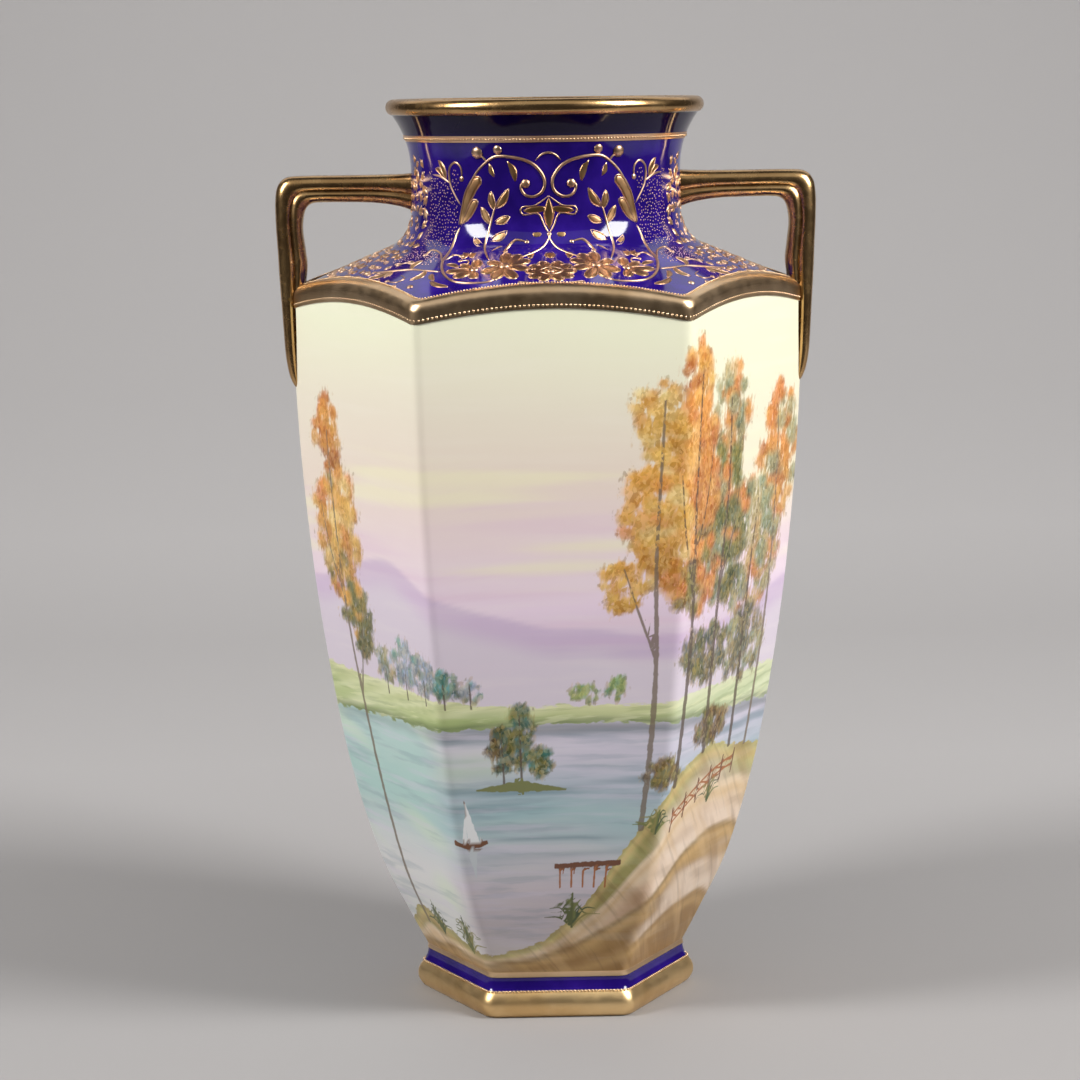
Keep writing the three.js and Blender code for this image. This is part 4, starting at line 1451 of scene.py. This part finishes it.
# %% The painting
def painting():
    bench = Bench("painted_porcelain")
    wall_uv = bench.add("ShaderNodeUVMap", {}, 0, uv_map="paint")
    inputs = {"Vector": wall_uv, "Scale": 160.0, "Detail": 2.0}
    wobble_noise = bench.add("ShaderNodeTexNoise", inputs, "Color")
    wobble = bench.add("ShaderNodeVectorMath", {0: wobble_noise, 1: (0.5, 0.5, 0.5)}, operation="SUBTRACT")

    def wobbly(amount):
        inputs = {0: wobble, 1: (amount * MM, amount * MM, 0), 2: wall_uv}
        return bench.add("ShaderNodeVectorMath", inputs, operation="MULTIPLY_ADD")

    calm, loose = wobbly(1.0), wobbly(3.0)

    def drawn_out(place, long, wide, angle):
        """Places on the wall in a grid as long and wide as a stroke, in mm, and at its angle."""
        scale = (long * MM, wide * MM, 1)
        inputs = {"Vector": place, "Rotation": (0, 0, np.radians(angle)), "Scale": scale}
        return bench.add("ShaderNodeMapping", inputs, vector_type="TEXTURE")

    def brushed(long, wide, angle=0.0, detail=3.0):
        """Noise drawn out into strokes: their length and width in mm and their angle on the wall."""
        inputs = {"Vector": drawn_out(calm, long, wide, angle), "Scale": 1.0, "Detail": detail}
        return bench.add("ShaderNodeTexNoise", inputs, "Fac", noise_dimensions="2D")

    def times(*values):
        total = values[0]
        for value in values[1:]:
            total = bench.math("MULTIPLY", total, value)
        return total

    def fine_strokes(colour, facts, colours, strength):
        parts = bench.add("ShaderNodeSeparateXYZ", {"Vector": bench.attribute(facts, "Vector")}, 0).node
        beside, away, width = (parts.outputs[i] for i in range(3))
        uneven = bench.between(brushed(3, 3), 0.3, 0.7, 0.8, 1.15)
        inside = bench.math("SUBTRACT", bench.math("MULTIPLY", width, uneven),
                            bench.math("ABSOLUTE", beside))
        near = bench.math("SUBTRACT", bench.math("ADD", width, 1.0), away)
        mask = times(bench.between(inside, -0.22, 0.22), bench.between(near, 0.0, 0.4), strength)
        return bench.mix(mask, colour, bench.attribute(colours))

    # The four washes meet at exact edges, a little ragged as a brush leaves them
    edges = bench.add("ShaderNodeSeparateXYZ", {"Vector": bench.attribute("edges", "Vector")}, 0).node
    ragged = bench.between(brushed(5, 2), 0.2, 0.8, -0.7, 0.7)
    past = [bench.between(bench.math("ADD", edges.outputs[i], ragged), -0.3, 0.3) for i in range(3)]
    bank = past[2]
    open_water = times(past[1], bench.math("SUBTRACT", 1.0, bank))
    grass = times(past[0], bench.math("SUBTRACT", 1.0, past[1]), bench.math("SUBTRACT", 1.0, bank))
    colour = bench.mix(past[0], bench.attribute("sky"), bench.attribute("meadow"))
    colour = bench.mix(past[1], colour, bench.attribute("water"))
    colour = bench.mix(bank, colour, bench.attribute("bank"))

    # Broad, faint strokes in the sky, and firmer ones in the water, grass and sand. Each layer: where it
    # lies, the length, width and angle of its strokes, where the noise starts and ends, strength, colour
    for where, stroke, (start, end), strength, tone in (
        (1.0, (60, 5), (0.45, 0.75), 0.1, (255, 250, 236)),
        (open_water, (44, 3.6), (0.5, 0.72), 0.26, (110, 140, 156)),
        (open_water, (50, 3.2), (0.5, 0.74), 0.34, (226, 218, 234)),
        (grass, (26, 2.0, 4), (0.5, 0.72), 0.32, (140, 160, 94)),
        (grass, (22, 2.2, 4), (0.55, 0.7), 0.4, (244, 244, 200)),
        (bank, (52, 9, -38), (0.45, 0.75), 0.34, (146, 106, 58)),
        (bank, (56, 6.5, -34), (0.5, 0.75), 0.3, (228, 192, 142)),
        (bank, (40, 2.4, -40), (0.56, 0.74), 0.2, (104, 76, 46)),
    ):
        laid_on = times(where, bench.between(brushed(*stroke), start, end, 0, strength))
        colour = bench.mix(laid_on, colour, linear(*tone))

    leaves = bench.attribute("leaves")
    solid = bench.attribute("leaves", "Alpha")
    present = bench.between(solid, 0.04, 0.22)
    cover = bench.math("ADD", solid, bench.between(brushed(5.5, 1.5, 82), 0.3, 0.7, -0.3, 0.16))
    soft = bench.math("MULTIPLY_ADD", brushed(4, 3.4), 0.6, cover)
    colour = bench.mix(times(bench.between(soft, 0.48, 0.95, 0, 0.9), present), colour, leaves)

    def dabs(colour, long, wide, angle, threshold, dark, light, share, strength):
        """A layer of leaf dabs. Each takes the foliage's colour, made darker or lighter by chance."""
        inputs = {"Vector": drawn_out(loose, long, wide, angle), "Scale": 1.0}
        cell = bench.add("ShaderNodeTexVoronoi", inputs, 0, voronoi_dimensions="2D").node
        chance = bench.add("ShaderNodeSeparateColor", {"Color": cell.outputs[1]}, 0).node
        value = bench.math("MULTIPLY_ADD", chance.outputs[0], 0.55, cover)
        value = bench.math("MULTIPLY_ADD", cell.outputs[0], -0.6, value)
        chosen = bench.math("LESS_THAN", chance.outputs[1], share)
        mask = times(bench.between(value, threshold, threshold + 0.32), chosen, present, strength)
        darker = bench.mix(1.0, leaves, dark, "MULTIPLY")
        tone = bench.mix(chance.outputs[2], darker, bench.mix(0.3, leaves, light))
        return bench.mix(mask, colour, tone)

    colour = dabs(colour, 2.4, 1.6, 75, 0.42, (0.62, 0.56, 0.5), linear(236, 190, 110), 0.6, 0.85)
    colour = dabs(colour, 1.9, 1.2, 55, 0.5, (0.66, 0.62, 0.54), linear(250, 210, 130), 0.6, 0.85)
    colour = fine_strokes(colour, "twigs", "twig_colours", 0.85)
    colour = dabs(colour, 1.3, 0.9, 105, 0.56, (0.7, 0.62, 0.54), linear(255, 232, 180), 0.55, 0.75)
    colour = fine_strokes(colour, "figures", "figure_colours", 1.0)
    return bench.finish(Base_Color=colour, Roughness=0.31, Specular_IOR_Level=0.45)


# %% Giving each piece its finishes
gilding = gold("gilding", linear(216, 182, 140), linear(236, 204, 164), 0.28)
handle_gold = gold("handle_gold", linear(184, 146, 98), linear(208, 170, 118), 0.22)
foot_gold = gold("foot_gold", linear(228, 190, 132), linear(246, 212, 156), 0.36)
raised_gold = gold("raised_gold", linear(218, 174, 138), linear(238, 200, 166), 0.33)
leaf_gold = gold("leaf_gold", linear(184, 140, 98), linear(206, 164, 118), 0.3)
made = {
    "painting": painting(),
    "cobalt": cobalt_glaze(),
    "gilding": gilding,
    "pink_gold": raised_gold,
    "handle_gold": handle_gold,
    "foot_gold": foot_gold,
    "lining": lining_glaze(),
    "bare_ring": bare_porcelain(),
}
for finish in FINISHES:
    vessel.data.materials.append(made[finish])
for piece in handles:
    piece.data.materials.append(handle_gold)
for piece, finish in ((relief_lines, raised_gold), (relief_fills, leaf_gold), (bead_rows, gilding)):
    piece.data.materials.append(finish)

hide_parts("vase")
for piece in (vessel, *handles, relief_lines, relief_fills, bead_rows):
    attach(piece, "root")

# %% [markdown]
# ## The table, the light and the camera
# The vase stands on a pale sheet that curves up behind it. Two soft boxes light it from the sides, so
# the faces stay soft and the gold gets long highlights. The room behind the camera is dim.

# %% The sheet of paper behind
def sweep(name, half_width, near, far, rise, radius):
    turns = np.linspace(0, np.pi / 2, 14)
    curve = [(far + radius * np.sin(turn), radius * (1 - np.cos(turn))) for turn in turns]
    profile = np.array([(-near, 0.0), *curve, (far + radius, rise)])
    across = np.linspace(-half_width, half_width, 3)
    places = np.stack(np.broadcast_arrays(across[None, :], profile[:, :1], profile[:, 1:]), axis=-1)
    piece, _, _ = laid_grid(name, places)
    smoothed(piece)
    return piece


# How bright the paper is painted at distances behind the vase, in metres, on the scale of a paint chart:
# darker near the vase as painted shade, lighter up the curve behind
PAPER_SHADE_TONES = [(0.0, 153), (0.14, 160), (0.345, 180), (0.85, 201), (1.0, 196)]
backdrop = sweep("backdrop", 1.3, 0.34, 0.66, 1.0, 0.62)
paper = Bench("backdrop_paper")
along = paper.add("ShaderNodeSeparateXYZ", {"Vector": paper.place()}, 0).node.outputs[1]
# Painted shade on the paper, from dark near the vase to light behind
painted_paper_shade = paper.ramp(along, [(place, (tone, tone - 3, tone - 4)) for place, tone in PAPER_SHADE_TONES])
backdrop.data.materials.append(paper.finish(Base_Color=painted_paper_shade, Roughness=0.7))

# %% The lights
CENTRE = Vector((0, 0, 0.17))


def soft_box(name, azimuth, elevation, distance, size, watts, colour=(1, 1, 1), target=CENTRE):
    round_by, up_by = np.radians(azimuth), np.radians(elevation)
    flat = np.cos(up_by)
    direction = Vector((np.sin(round_by) * flat, -np.cos(round_by) * flat, np.sin(up_by)))
    deselect_all()
    bpy.ops.object.light_add(type="AREA", location=target + direction * distance)
    light = bpy.context.object
    light.name = name
    light.data.shape = "RECTANGLE"
    light.data.size, light.data.size_y = size
    light.data.energy = watts
    light.data.color = colour
    light.rotation_euler = direction.to_track_quat("Z", "Y").to_euler()
    return light


soft_box("right_box", 62, 36, 1.1, (0.36, 0.6), 15)
soft_box("left_box", -65, 36, 1.1, (0.3, 0.55), 11)
soft_box("ceiling", 0, 64, 1.4, (1.7, 1.1), 2.6)
soft_box("back_box", 180, 60, 1.0, (2.6, 1.1), 7.5, target=Vector((0, 0.75, 0.3)))
world = bpy.context.scene.world or bpy.data.worlds.new("room")
bpy.context.scene.world = world
world.use_nodes = True
room = world.node_tree.nodes["Background"]
room.inputs["Color"].default_value = (0.04, 0.037, 0.035, 1)
room.inputs["Strength"].default_value = 1.0

# %% The camera
LENS = 100.03
SENSOR = 36
CAMERA_PLACE = Vector((-6.5, -1011, 311)) * MM
PITCH, YAW, ROLL, TURN = (np.radians(v) for v in (8.73, 0.17, -0.78, -0.8))
forward = Vector((np.sin(YAW) * np.cos(PITCH), np.cos(YAW) * np.cos(PITCH), -np.sin(PITCH)))
level_right = forward.cross(Vector((0, 0, 1))).normalized()
level_up = level_right.cross(forward)
right = np.cos(ROLL) * level_right + np.sin(ROLL) * level_up
up = -np.sin(ROLL) * level_right + np.cos(ROLL) * level_up
turned = Matrix.Rotation(TURN, 4, "Z")
deselect_all()
bpy.ops.object.camera_add()
camera = bpy.context.object
axes = Matrix((right, up, -forward)).transposed().to_4x4()
axes.translation = CAMERA_PLACE
camera.matrix_world = turned @ axes
camera.data.lens = LENS
camera.data.sensor_width = SENSOR
camera.data.clip_start = 0.05
camera.data.clip_end = 20
bpy.context.scene.camera = camera
bpy.context.scene.view_settings.view_transform = "Standard"
